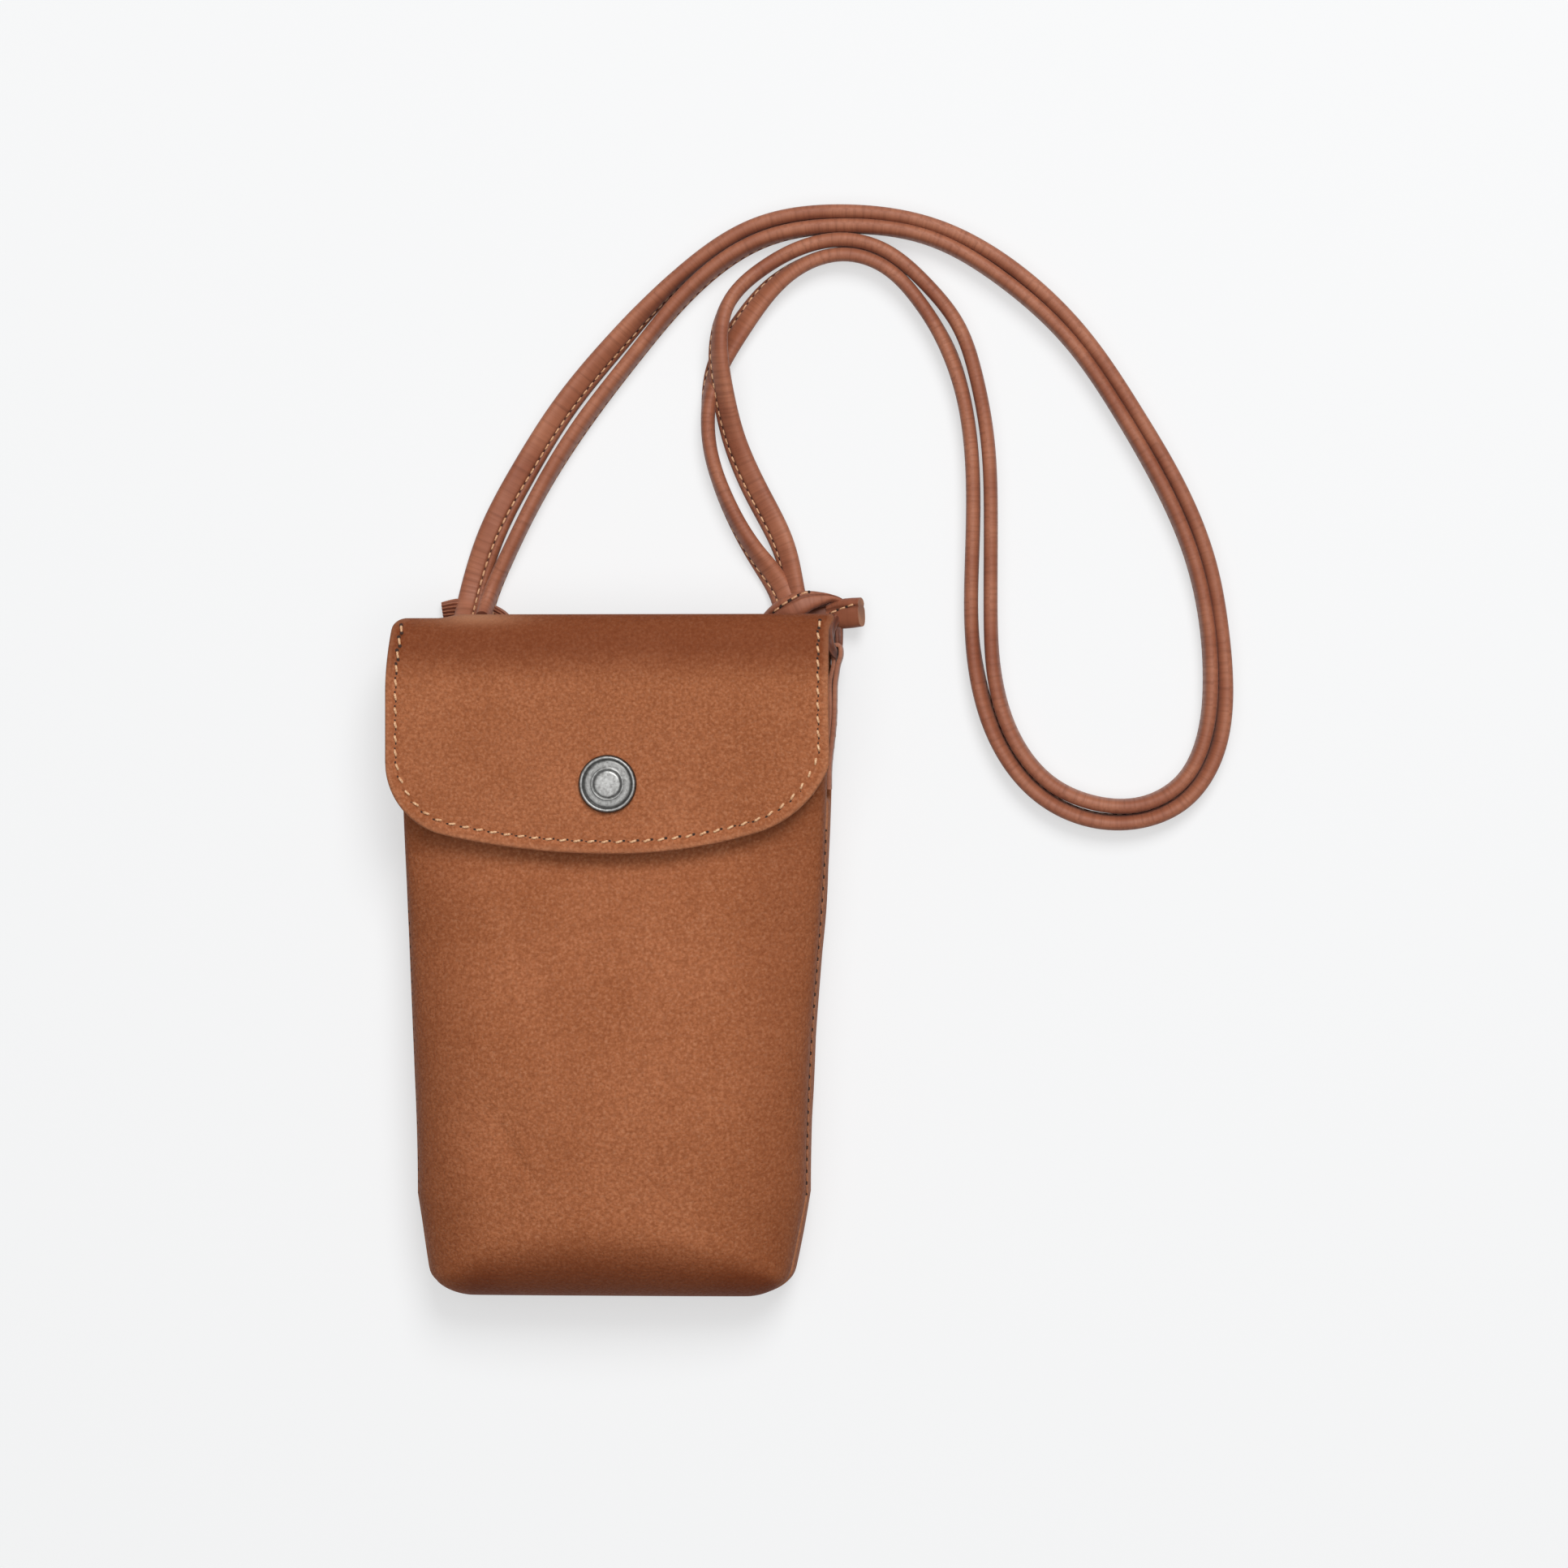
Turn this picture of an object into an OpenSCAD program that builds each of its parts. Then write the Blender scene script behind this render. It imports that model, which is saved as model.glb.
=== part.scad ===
/* [Pouch] */
// Height from the base to the fold at the top
pouch_h = 175; // [165:1:190]
// Width across the gussets at their widest
pouch_w = 112.4; // [108:0.2:118]
// Width across the gussets where the bottom corners start
low_w = 101.8; // [98:0.2:106]
// Width of the straight part of the base
base_w = 83; // [76:0.5:88]
// Height of each rounded bottom corner
corner_h = 24.5; // [22:0.5:28]
// How far each gusset is pinched in at the mouth
mouth_pinch = 2.6; // [2:0.1:4]
// Distance from the top fold down to the edge of the mouth
mouth_drop = 11.5; // [8:0.5:16]
// Thickness of the body and flap leather
leather_t = 1.4; // [1:0.1:1.6]
// Thickness of the fabric lining
lining_t = 0.6; // [0.4:0.1:0.8]

/* [Depth] */
// Depth of the pouch under the flap
front_z = 26; // [24:0.5:30]
// Depth of the pouch at its fullest
belly_z = 34; // [30:0.5:40]
// Depth of the gusset, from the back to the front seam
seam_z = 14; // [13:0.5:16]
// How far the back rises towards the mouth
back_rise = 9.4; // [9:0.1:10]
// Height over which the front rolls down to the base
roll_h = 21.5; // [18:0.5:24]
// How far the front stands in from the gusset at the seam
seam_step = 0.7; // [0.5:0.1:1]

/* [Flap] */
// Height of the flap on the front
flap_h = 61.6; // [56:0.2:70]
// Widest width of the flap
flap_w = 115.6; // [113:0.2:120]
// Width of the flap at the top fold
flap_top_w = 112.4; // [110:0.2:113]
// Width of the flap where it is sewn on the back
flap_root_w = 104; // [98:0.5:106]
// Radius of the lower corners of the flap
flap_corner_r = 17; // [10:0.5:22]
// Radius of the shallow lower edge of the flap
flap_edge_r = 200; // [160:5:300]
// Outer radius of the two folds over the top
fold_r = 3.5; // [3.2:0.1:4]
// Free height between the front and the closed flap
flap_gap = 1.2; // [1:0.1:2]
// Thickness of the thin leather that lines the flap
flap_lining_t = 0.7; // [0.5:0.1:0.9]
// Height of the flap's tail sewn on the back
tail_h = 24; // [18:1:30]

/* [Snap] */
// Diameter of the cap
cap_d = 15; // [13:0.5:17]
// Height of the cap
cap_h = 1.7; // [1.4:0.1:2.5]
// Distance from the top fold down to the middle of the snap
snap_drop = 43.6; // [38:0.2:48]
// Diameter of the socket
socket_d = 12; // [11:0.5:12.5]
// Inner diameter of the socket
socket_bore = 7.4; // [7.2:0.1:8]
// Diameter of the nipple of the stud
nipple_d = 6; // [5:0.1:6.2]
// Diameter of the foot of the stud
stud_d = 10.4; // [9:0.2:11.5]
// Diameter of the head of the post
post_d = 10; // [8:0.5:12]
// Diameter of the shanks of the cap and of the post
shank_d = 2.8; // [2.4:0.1:3.2]

/* [Strap] */
// Width of the folded lace
lace_w = 7.2; // [6.6:0.1:7.2]
// Thickness of the folded lace
lace_t = 3.4; // [2.8:0.1:3.4]
// Width of the lace where it is drawn through a tab
neck_w = 3.4; // [3:0.1:3.6]
// Thickness of the lace where it is drawn through a tab
neck_t = 2.9; // [2.4:0.1:3]

/* [Tabs] */
// Thickness of the tab leather
tab_t = 1; // [0.8:0.1:1.2]
// Width of the tab strip
tab_w = 7; // [6:0.5:7]
// Length of the sewn legs of the tab
tab_leg = 29; // [20:1:34]
// Inner height of the tab's eye
eye_h = 7; // [6.5:0.5:8]
// Inner width of the tab's eye
eye_w = 3.2; // [3.2:0.1:3.6]

/* [Thread] */
// Diameter of the thread
thread_d = 0.6; // [0.4:0.1:0.7]
// Length of thread that shows in a stitch
stitch_l = 2.1; // [1.5:0.1:2.4]
// Distance from stitch to stitch
stitch_pitch = 3; // [2.8:0.1:4]
// Distance of the stitching from an edge
stitch_in = 2.6; // [2:0.1:4]

/* [Hidden] */
$fn = 48;

// Overrun of a cut past a face
over = 1;
// Clearance between two layers that are sewn together
ply = 0.1;
// Clearance of a metal part that only rests on its seat
rest = 0.05;
// Running clearance between pieces that move past each other
run = 0.3;
// Clearance round a shank in its hole
shank_play = 0.3;

// Heights of the main lines, measured from the middle of the pouch
top_y = pouch_h / 2;
base_y = -pouch_h / 2;
back_y = top_y - fold_r;
mouth_y = top_y - mouth_drop;
corner_y = base_y + corner_h;
roll_y = base_y + roll_h;
snap_y = top_y - snap_drop;
// From the top fold down to where the gussets are widest
wide_drop = 27.5;
wide_y = top_y - wide_drop;
// From the top fold down to where the gussets start to pinch in, and how far that takes
pinch_drop = 31.5;
pinch_run = 16;
pinch_y = top_y - pinch_drop;
// From the top fold down to where the back starts to rise
rise_drop = 55.5;
rise_y = top_y - rise_drop;
// From the top fold down to where the front starts to swell and to where it is fullest
swell_drop = 65.5;
full_drop = 125.5;
swell_y = top_y - swell_drop;
full_y = top_y - full_drop;
// From the top fold down to the end of the gussets
gusset_drop = 17;
gusset_y = top_y - gusset_drop;

corner_w = (low_w - base_w) / 2;
corner_power = 1.7;
crown_flap = 5;
crown_belly = 3.2;
side_steps = 20;
corner_steps = 8;
rise_steps = 8;
panel_steps = 12;
roll_steps = 8;
across_steps = 18;
arc_steps = 8;

// A smooth step from 0 to 1
function smooth(t) = let (s = min(1, max(0, t))) s * s * (3 - 2 * s);
function unit(v) = v / norm(v);
function mirrored(points) = [for (i = [len(points) - 1:-1:0]) [-points[i][0], points[i][1]]];
// Points of an arc in a plane
function arc(centre, r, from, to) =
    [for (i = [0:arc_steps]) let (a = from + (to - from) * i / arc_steps) centre + r * [cos(a), sin(a)]];

// Half width of the pouch at a height, over the gussets
function side_w(y) =
    low_w / 2 + (pouch_w - low_w) / 2 * smooth((y - corner_y) / (wide_y - corner_y))
    - mouth_pinch * smooth((y - pinch_y) / pinch_run);
function corner_at(y) = let (rise = pow((corner_y - y) / corner_h, corner_power))
    base_w / 2 + corner_w * pow(max(0, 1 - rise), 1 / corner_power);
function half_w(y) = y > corner_y ? side_w(y) : corner_at(y);

// Right half of the outline, from the mouth down to the base, drawn in by an inset
function half_outline(inset, top) = concat(
    [for (i = [0:side_steps]) let (y = top + (corner_y - top) * i / side_steps) [side_w(y) - inset, y]],
    [for (i = [1:corner_steps]) let (a = 90 * i / corner_steps) [
        base_w / 2 + (corner_w - inset) * pow(cos(a), 2 / corner_power),
        corner_y - (corner_h - inset) * pow(sin(a), 2 / corner_power)
    ]]
);

// Height of the back's outer face above the surface it lies on
function back_z(y) = back_rise * smooth((y - rise_y) / (back_y - rise_y));
rise_ys = concat(
    [base_y - over],
    [for (i = [0:rise_steps]) rise_y + (back_y - rise_y) * i / rise_steps],
    [top_y]
);
function back_line(shift) = [for (y = rise_ys) [y, back_z(y) + shift]];
function turned_back(points) = [for (i = [len(points) - 1:-1:0]) points[i]];

// Depth of the front along its middle
function front_at(y) = front_z + (belly_z - front_z) * smooth((swell_y - y) / (swell_y - full_y));
function crown_at(y) = crown_flap + (crown_belly - crown_flap) * smooth((swell_y - y) / (swell_y - full_y));

// Extrudes an outline drawn as distance up the pouch and depth, across the whole width
module across(w) {
    rotate([90, 0, 90]) linear_extrude(w, center = true) children();
}

// A cylinder along the depth, from one depth to another
module pin(d, from, to) {
    translate([0, snap_y, from]) cylinder(d = d, h = to - from);
}

// A station of a front shell: height, depth at the middle, half width, crown and depth of its foot
function panel_stations(d, top, low, foot) = [
    for (i = [0:panel_steps]) let (y = top + (low - top) * i / panel_steps)
        [y, front_at(y) - d, half_w(y) - seam_step - d, crown_at(y), foot + back_z(y)]
];
function roll_stations(d, foot) = [
    for (i = [1:roll_steps]) let (a = 90 * i / roll_steps) [
        roll_y - (roll_h - d) * sin(a), foot + (belly_z - d - foot) * cos(a),
        half_w(roll_y - roll_h * sin(a)) - seam_step - d, crown_belly, foot
    ]
];
function level(stations, z) = [for (s = stations) [s[0], s[1], s[2], s[3], z]];
function front_stations(d) =
    level(concat(panel_stations(d, mouth_y, roll_y, 0), roll_stations(d, seam_z)), seam_z);
function shell_point(s, a) = [
    s[2] * sign(a) * pow(abs(sin(a)), 2 / s[3]), s[0], s[4] + (s[1] - s[4]) * pow(cos(a), 2 / s[3])
];
function shell_rows(stations) = [
    for (s = stations) for (j = [0:across_steps]) shell_point(s, 90 * (2 * j / across_steps - 1))
];

// A closed shell between two lists of stations
module shell(outer, inner) {
    cols = across_steps + 1;
    rows = len(outer);
    inside = rows * cols;
    last_row = (rows - 1) * cols;
    quads = concat(
        [for (i = [0:rows - 2]) for (j = [0:cols - 2]) let (k = i * cols + j)
            [k, k + 1, k + 1 + cols, k + cols]],
        [for (i = [0:rows - 2]) for (j = [0:cols - 2]) let (k = inside + i * cols + j)
            [k, k + cols, k + 1 + cols, k + 1]],
        [for (j = [0:cols - 2]) [j + 1, j, inside + j, inside + j + 1]],
        [for (j = [0:cols - 2]) let (k = last_row + j) [k, k + 1, inside + k + 1, inside + k]],
        [for (i = [0:rows - 2]) let (k = i * cols) [k, k + cols, inside + k + cols, inside + k]],
        [for (i = [0:rows - 2]) let (k = i * cols + cols - 1) [k + cols, k, inside + k, inside + k + cols]]
    );
    polyhedron(
        points = concat(shell_rows(outer), shell_rows(inner)),
        faces = [for (q = quads) each [[q[0], q[1], q[2]], [q[0], q[2], q[3]]]]
    );
}

// Front of the body, from the mouth over the belly and down to the base
module front_panel() {
    color("#a8623f") difference() {
        shell(front_stations(0), front_stations(leather_t));
        pin(shank_d + 2 * shank_play, front_z - leather_t - over, front_z + over);
    }
}

// Back of the body, flat where it lies and rising to the mouth
module back_panel() {
    outline = half_outline(0, back_y);
    color("#a05a3a") intersection() {
        across(2 * pouch_w) polygon(concat(back_line(0), turned_back(back_line(leather_t))));
        translate([0, 0, -over]) linear_extrude(front_z) polygon(concat(outline, mirrored(outline)));
    }
}

// A side wall that follows the outline from the mouth round the bottom corner
module gusset() {
    color("#a25c3b") intersection() {
        linear_extrude(seam_z) polygon(concat(
            half_outline(0, gusset_y), turned_back(half_outline(leather_t, gusset_y))
        ));
        across(2 * pouch_w) polygon(concat(
            back_line(leather_t), [[top_y, seam_z], [base_y - over, seam_z]]
        ));
    }
}
module right_gusset() {
    gusset();
}
module left_gusset() {
    mirror([1, 0, 0]) gusset();
}

// The straight wall along the bottom, between the gussets
module base_panel() {
    color("#9c5636") translate([-base_w / 2, base_y, leather_t])
        cube([base_w, leather_t, seam_z - leather_t]);
}

// Depth of the strip that faces the inside of the mouth
facing_h = 14;
facing_t = 0.8;
lining_y = mouth_y - facing_h;
lining_foot = leather_t + 2 * ply + lining_t;
function lining_stations(d) =
    concat(panel_stations(d, lining_y - ply, roll_y, lining_foot), roll_stations(d, lining_foot));

// Leather strip that faces the inside of the mouth
module mouth_facing() {
    color("#b87a52") shell(
        panel_stations(leather_t + ply, mouth_y, lining_y, lining_foot),
        panel_stations(leather_t + ply + facing_t, mouth_y, lining_y, lining_foot)
    );
}

// Front half of the fabric lining
module lining_front() {
    outer = leather_t + ply;
    inner = outer + lining_t;
    color("#b9a284") difference() {
        shell(lining_stations(outer), lining_stations(inner));
        pin(shank_d + 2 * shank_play, front_z - inner - over, front_z);
    }
}

// Back half of the fabric lining
module lining_back() {
    outline = half_outline(leather_t + ply, back_y - over);
    color("#b9a284") intersection() {
        across(pouch_w) polygon(concat(
            back_line(leather_t + ply), turned_back(back_line(leather_t + ply + lining_t))
        ));
        linear_extrude(front_z) polygon(concat(outline, mirrored(outline)));
    }
}

// Running length up to each point of a path
function run_lengths(p) = [
    for (i = 0, s = 0; i < len(p); s = s + (i < len(p) - 1 ? norm(p[i + 1] - p[i]) : 0), i = i + 1) s
];
function place(p, ls, s) = [for (axis = [0:2]) lookup(s, [for (i = [0:len(p) - 1]) [ls[i], p[i][axis]]])];

// A row of separate stitches along a path
module stitch_row(path) {
    ls = run_lengths(path);
    total = ls[len(ls) - 1];
    count = floor(total / stitch_pitch);
    for (i = [0:count - 1]) {
        s = total * (i + 0.5) / count;
        ahead = place(path, ls, s + stitch_l / 2) - place(path, ls, s - stitch_l / 2);
        translate(place(path, ls, s))
            rotate([0, -asin(ahead[2] / norm(ahead)), atan2(ahead[1], ahead[0])])
                rotate([0, 90, 0]) cylinder(d = thread_d, h = stitch_l, center = true);
    }
}

// Stitches of the two front seams, each in the step between front and gusset
module seam_thread() {
    lift = thread_d / 2 + ply;
    color("#c98a5c") for (side = [-1, 1]) stitch_row([
        for (i = [0:side_steps]) let (y = corner_y + (rise_y - corner_y) * i / side_steps)
            [side * (half_w(y) - seam_step + lift), y, seam_z + lift]
    ]);
}

// Depths of the flap's faces, and the centres of its two folds over the top
flap_in_z = front_z + flap_gap + flap_lining_t;
flap_out_z = flap_in_z + leather_t;
tail_z = back_rise - leather_t;
upper_fold = [back_y, flap_out_z - fold_r];
lower_fold = [back_y, tail_z + fold_r];
// Half of the free gap at each line where the flap flexes
flex = 0.15;
low_hinge_z = lower_fold[1] + flex;
high_hinge_z = upper_fold[1] - flex;
tail_y = back_y - tail_h;
tail_corner_r = 10;
function on_back(y) = lookup(y, back_line(0));
tail_ys = concat([tail_y], [for (y = rise_ys) if (y > tail_y && y <= back_y) y]);

// Part of the flap that is sewn on the back and turns up at the mouth
module flap_tail() {
    half = flap_root_w / 2;
    color("#a05a3a") intersection() {
        across(flap_root_w) polygon(concat(
            [for (y = tail_ys) [y, on_back(y) - leather_t]],
            arc(lower_fold, fold_r, -90, 0),
            arc(lower_fold, fold_r - leather_t, 0, -90),
            turned_back([for (y = tail_ys) [y, on_back(y)]])
        ));
        linear_extrude(front_z) polygon(concat(
            [[half, top_y + over]],
            arc([half - tail_corner_r, tail_y + tail_corner_r], tail_corner_r, 0, -90),
            arc([tail_corner_r - half, tail_y + tail_corner_r], tail_corner_r, -90, -180),
            [[-half, top_y + over]]
        ));
    }
}

// Stitches that hold the tail on the back
module tail_thread() {
    half = flap_root_w / 2 - stitch_in;
    row_ys = [for (y = tail_ys) max(y, tail_y + stitch_in)];
    drop = leather_t + thread_d / 2 + ply;
    side = [for (y = row_ys) [half, y, on_back(y) - drop]];
    corner = [half, tail_y + stitch_in, on_back(tail_y + stitch_in) - drop];
    color("#c98a5c") {
        for (x = [-1, 1]) stitch_row([for (p = side) if (p[1] > corner[1]) [x * p[0], p[1], p[2]]]);
        stitch_row([for (x = [-1, 1]) [x * (half - tail_corner_r), corner[1], corner[2]]]);
    }
}

// Strip of the flap that spans the mouth, between its two flexing lines
module bridge_strip(out, thickness) {
    low = low_hinge_z + flex;
    high = high_hinge_z - flex;
    translate([0, top_y - out, 0]) rotate([90, 0, 0]) linear_extrude(thickness) polygon([
        [-flap_root_w / 2, low], [flap_root_w / 2, low], [flap_top_w / 2, high], [-flap_top_w / 2, high]
    ]);
}
module flap_bridge() {
    color("#a05a3a") bridge_strip(0, leather_t);
}
module bridge_lining() {
    color("#b87a52") bridge_strip(leather_t, flap_lining_t);
}

// Outline of the flap, drawn in by an inset
flap_wide_drop = 30.5;
flap_lining_in = 0.4;
flap_low_y = top_y - flap_h;
corner_x = flap_w / 2 - flap_corner_r;
edge_centre = [0, flap_low_y + flap_edge_r];
corner_reach = sqrt(pow(flap_edge_r - flap_corner_r, 2) - pow(corner_x, 2));
corner_centre = [corner_x, edge_centre[1] - corner_reach];
edge_angle = atan(corner_x / corner_reach);
function flap_side(inset, top) = concat(
    [[flap_top_w / 2 - inset, top], [flap_w / 2 - inset, top_y - flap_wide_drop]],
    arc(corner_centre, flap_corner_r - inset, 0, edge_angle - 90)
);
function flap_outline(inset, top) = concat(
    flap_side(inset, top),
    [for (i = [1:arc_steps - 1]) let (a = edge_angle * (1 - 2 * i / arc_steps))
        edge_centre + (flap_edge_r - inset) * [sin(a), -cos(a)]],
    mirrored(flap_side(inset, top))
);

// A layer of the flap: the front and the fold at its top
module flap_layer(out_z, thickness, inset) {
    r = fold_r - flap_out_z + out_z;
    difference() {
        intersection() {
            across(2 * flap_w) polygon(concat(
                [[flap_low_y - over, out_z - thickness], [flap_low_y - over, out_z]],
                arc(upper_fold, r, 90, 0), arc(upper_fold, r - thickness, 0, 90)
            ));
            linear_extrude(out_z + over) polygon(flap_outline(inset, top_y));
        }
        children();
    }
}
module flap_leather() {
    color("#a8623f") flap_layer(flap_out_z, leather_t, 0)
        pin(shank_d + 2 * shank_play, front_z, flap_out_z + over);
}
module flap_lining() {
    color("#b87a52") flap_layer(flap_in_z, flap_lining_t, flap_lining_in)
        pin(socket_d + 2 * shank_play, front_z, flap_out_z);
}

// Stitches along the edge of the flap
module flap_thread() {
    color("#c98a5c") stitch_row([
        for (p = flap_outline(stitch_in, back_y - stitch_in)) [p[0], p[1], flap_out_z + thread_d / 2 + ply]
    ]);
}

// Profile of the cap, as shares of its radius and height
cap_shares = [
    [0, 0], [1, 0], [1, 0.55], [0.96, 0.85], [0.89, 1], [0.81, 0.9], [0.76, 0.62], [0.68, 0.6],
    [0.64, 0.78], [0, 0.86]
];
plate_t = 0.3;
foot_t = 0.4;
head_t = 0.9;
spring_h = 0.3;
spring_in = 0.2;
spring_out = 0.4;
spring_slit = 1;
socket_z = front_z + foot_t + run;
spring_z = (socket_z + flap_in_z - plate_t - spring_h) / 2;

// Cap of the snap with its shank through the flap
module snap_cap() {
    color("#6d675f") union() {
        translate([0, snap_y, flap_out_z]) rotate_extrude()
            polygon([for (s = cap_shares) [s[0] * cap_d / 2, s[1] * cap_h]]);
        pin(shank_d, flap_in_z - plate_t, flap_out_z + cap_h / 2);
    }
}

// Socket under the flap, with a groove for its spring
module snap_socket() {
    color("#8d8578") difference() {
        pin(socket_d, socket_z, flap_in_z);
        pin(socket_bore, socket_z - over, flap_in_z - plate_t);
        pin(socket_bore + 2 * (spring_out + spring_in), spring_z - rest, spring_z + spring_h + rest);
        pin(shank_d + 2 * rest, socket_z, flap_in_z + over);
    }
}

// Split ring that grips the nipple
module snap_spring() {
    color("#c9c2b4") difference() {
        pin(socket_bore + 2 * spring_out, spring_z, spring_z + spring_h);
        pin(socket_bore - 2 * spring_in, spring_z - over, spring_z + spring_h + over);
        translate([0, snap_y - spring_slit / 2, spring_z - over])
            cube([socket_d, spring_slit, spring_h + 2 * over]);
    }
}

// Stud on the front of the body
module snap_stud() {
    color("#8d8578") difference() {
        union() {
            pin(stud_d, front_z + rest, front_z + foot_t);
            pin(nipple_d, front_z + rest, flap_in_z - plate_t - run);
        }
        pin(shank_d + 2 * rest, front_z - over, flap_out_z);
    }
}

// Post that comes through the front from inside and holds the stud
module snap_post() {
    seat = front_z - leather_t - ply - lining_t - ply;
    color("#8d8578") union() {
        pin(post_d, seat - head_t, seat);
        pin(shank_d, seat - rest, flap_in_z - plate_t - run);
    }
}

// Places of the tabs
tab_drop = 45;
tab_in = 0.6;
tab_slit = 0.2;
tab_x = pouch_w / 2 + rest + tab_t + tab_slit / 2;
tab_y = top_y - tab_drop;
eye_y = tab_y + tab_leg + tab_t + eye_h / 2;

// Outline of an eye, as a slot with round ends
module eye(grow) {
    half = (eye_h - eye_w) / 2;
    for (end = [-half, half]) translate([tab_x, eye_y + end]) circle(d = eye_w + 2 * grow);
    translate([tab_x - eye_w / 2 - grow, eye_y - half]) square([eye_w + 2 * grow, 2 * half]);
}

// Folded strip on the gusset with an eye for the strap
module tab() {
    color("#9c5636") translate([0, 0, seam_z - tab_in - tab_w]) linear_extrude(tab_w) difference() {
        union() {
            translate([tab_x - tab_t - tab_slit / 2, tab_y]) square([2 * tab_t + tab_slit, eye_y - tab_y]);
            eye(tab_t);
        }
        eye(0);
        translate([tab_x - tab_slit / 2, tab_y - over]) square([tab_slit, eye_y - tab_y]);
    }
}
module right_tab() {
    tab();
}
module left_tab() {
    mirror([1, 0, 0]) tab();
}

// Stitches through the legs of both tabs
module tab_thread() {
    x = tab_x + tab_t + tab_slit / 2 + thread_d / 2 + ply;
    middle = seam_z - tab_in - tab_w / 2;
    row = tab_w / 2 - stitch_l / 2;
    color("#c98a5c") for (side = [-1, 1], z = [middle - row, middle + row])
        stitch_row([[side * x, tab_y + tab_t, z], [side * x, tab_y + tab_leg - tab_t, z]]);
}

// Cross-section of the folded lace, as shares of half its width and half its thickness
lace_shares = [
    [1, 0.45], [0.62, 1], [-0.62, 1], [-1, 0.45], [-1, -0.45], [-0.62, -1], [0.62, -1], [1, -0.45]
];
// Routes of the two strands: x, y, lift off the surface, and roll from standing on edge to lying flat
inner_route = [
    [48, 93, 0, 80], [43, 105.5, 0, 80], [36.5, 119.5, 0, 75], [30.5, 134, 0.5, 60], [27.8, 146.5, 3.5, 30],
    [26.6, 158, 5, 15], [28.3, 170, 3.2, 10], [36, 180.5, 0.6, 0], [47.5, 185.2, 0, 0], [59, 186.3, 0, 0],
    [69.5, 183.5, 0, 0], [80, 175.3, 0, 0], [88.5, 164, 0, 0], [94, 150.5, 0, 0], [96.8, 134, 0, 0],
    [97.3, 113, 0, 0], [97.4, 91, 0, 0], [99.5, 70.5, 0, 0], [105, 55.5, 0, 0], [114, 44.7, 0, 0],
    [125, 39, 0, 0], [136.5, 38.8, 0, 0], [146.5, 45, 0, 0], [152.7, 56.5, 0, 0], [155, 71, 0, 0],
    [153.5, 87, 0, 0], [148.5, 103.5, 0, 0], [140.5, 122, 0, 0], [130, 141, 0, 0], [117, 159, 0, 0],
    [100.5, 176, 0, 0], [81, 186.5, 0, 0], [59, 190.2, 0, 0], [37.5, 186.7, 0, 0], [18.5, 175.5, 0, 0],
    [3, 159, 0, 5], [-10.5, 140, 0, 10], [-22, 121.5, 0, 15], [-30, 104, 0, 25], [-34, 91, 0, 30]
];
outer_route = [
    [40.6, 93, 0, 70], [36, 104.5, 0, 45], [28.5, 117.5, 0, 15], [24, 132, 0, 10], [22.8, 144, 0, 40],
    [25.2, 155, 0, 75], [31.5, 163.5, 0, 80], [39.5, 172, 0, 50], [47.5, 179.3, 0, 15], [59, 182.5, 0, 0],
    [68.5, 179.5, 0, 0], [77.5, 170.5, 0, 0], [85, 158, 0, 0], [90, 144, 0, 0], [92.5, 126, 0, 0],
    [92.8, 104, 0, 0], [92.7, 84, 0, 0], [95.3, 66.5, 0, 0], [101.3, 51.5, 0, 0], [110.5, 40.8, 0, 0],
    [122, 34.5, 0, 0], [135.5, 33.8, 0, 0], [147.5, 39.5, 0, 0], [155.7, 51, 0, 0], [159, 66.5, 0, 0],
    [158.3, 83, 0, 0], [154, 101, 0, 0], [145.8, 121, 0, 0], [135, 140.5, 0, 0], [121.5, 160, 0, 0],
    [104, 178.3, 0, 0], [83, 190.2, 0, 0], [59, 194.2, 0, 0], [35.5, 190.5, 0, 5], [15, 178.5, 0, 30],
    [-2, 161, 0, 50], [-15.5, 143.5, 0, 65], [-27.5, 125.5, 0, 80], [-36, 107.5, 0, 85], [-41, 91, 0, 85]
];
// Routes of the drawn-in lace between the knots and the eyes of the tabs
left_neck_route = [
    [-45, 86, 5.3], [-49, 85.4, 5.3], [-53.5, 84.6, 6.4], [-56.6, 83.8, 9.6], [-57.35, 83.4, 13.4],
    [-57.35, 80.4, 15.9], [-57.35, 77.5, 15], [-57.35, 76.4, 11], [-57.35, 76.2, 6], [-57.1, 77.5, 2.7],
    [-55.8, 80.6, 1.8], [-52, 84.4, 1.8], [-45, 86.2, 1.8]
];
right_neck_route = [
    [57.35, 85.4, 5.6], [57.35, 83.9, 7.4], [57.35, 83.2, 10], [57.35, 83.1, 13.2], [57.35, 80.4, 15.9],
    [57.35, 77.5, 15], [57.35, 76.4, 11], [57.35, 76.2, 6], [57.35, 77.5, 2.7], [57.35, 80.6, 1.8],
    [57.35, 85.4, 1.8]
];

// Closes a list of rings of points, one after the other, into a tube
module tube(rings) {
    n = len(rings[0]);
    last = (len(rings) - 1) * n;
    polyhedron(
        points = [for (r = rings) each r],
        faces = concat(
            [for (i = [0:len(rings) - 2]) for (j = [0:n - 1]) let (a = i * n + j, b = i * n + (j + 1) % n)
                each [[a, b + n, b], [a, a + n, b + n]]],
            [[for (j = [0:n - 1]) j], [for (j = [n - 1:-1:0]) last + j]]
        )
    );
}
function ring(centre, across_dir, w, through_dir, t) =
    [for (s = lace_shares) centre + s[0] * w / 2 * across_dir + s[1] * t / 2 * through_dir];
function along(points, i, first, last) =
    i == 0 ? first : i == len(points) - 1 ? last : unit(points[i + 1] - points[i - 1]);

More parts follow.
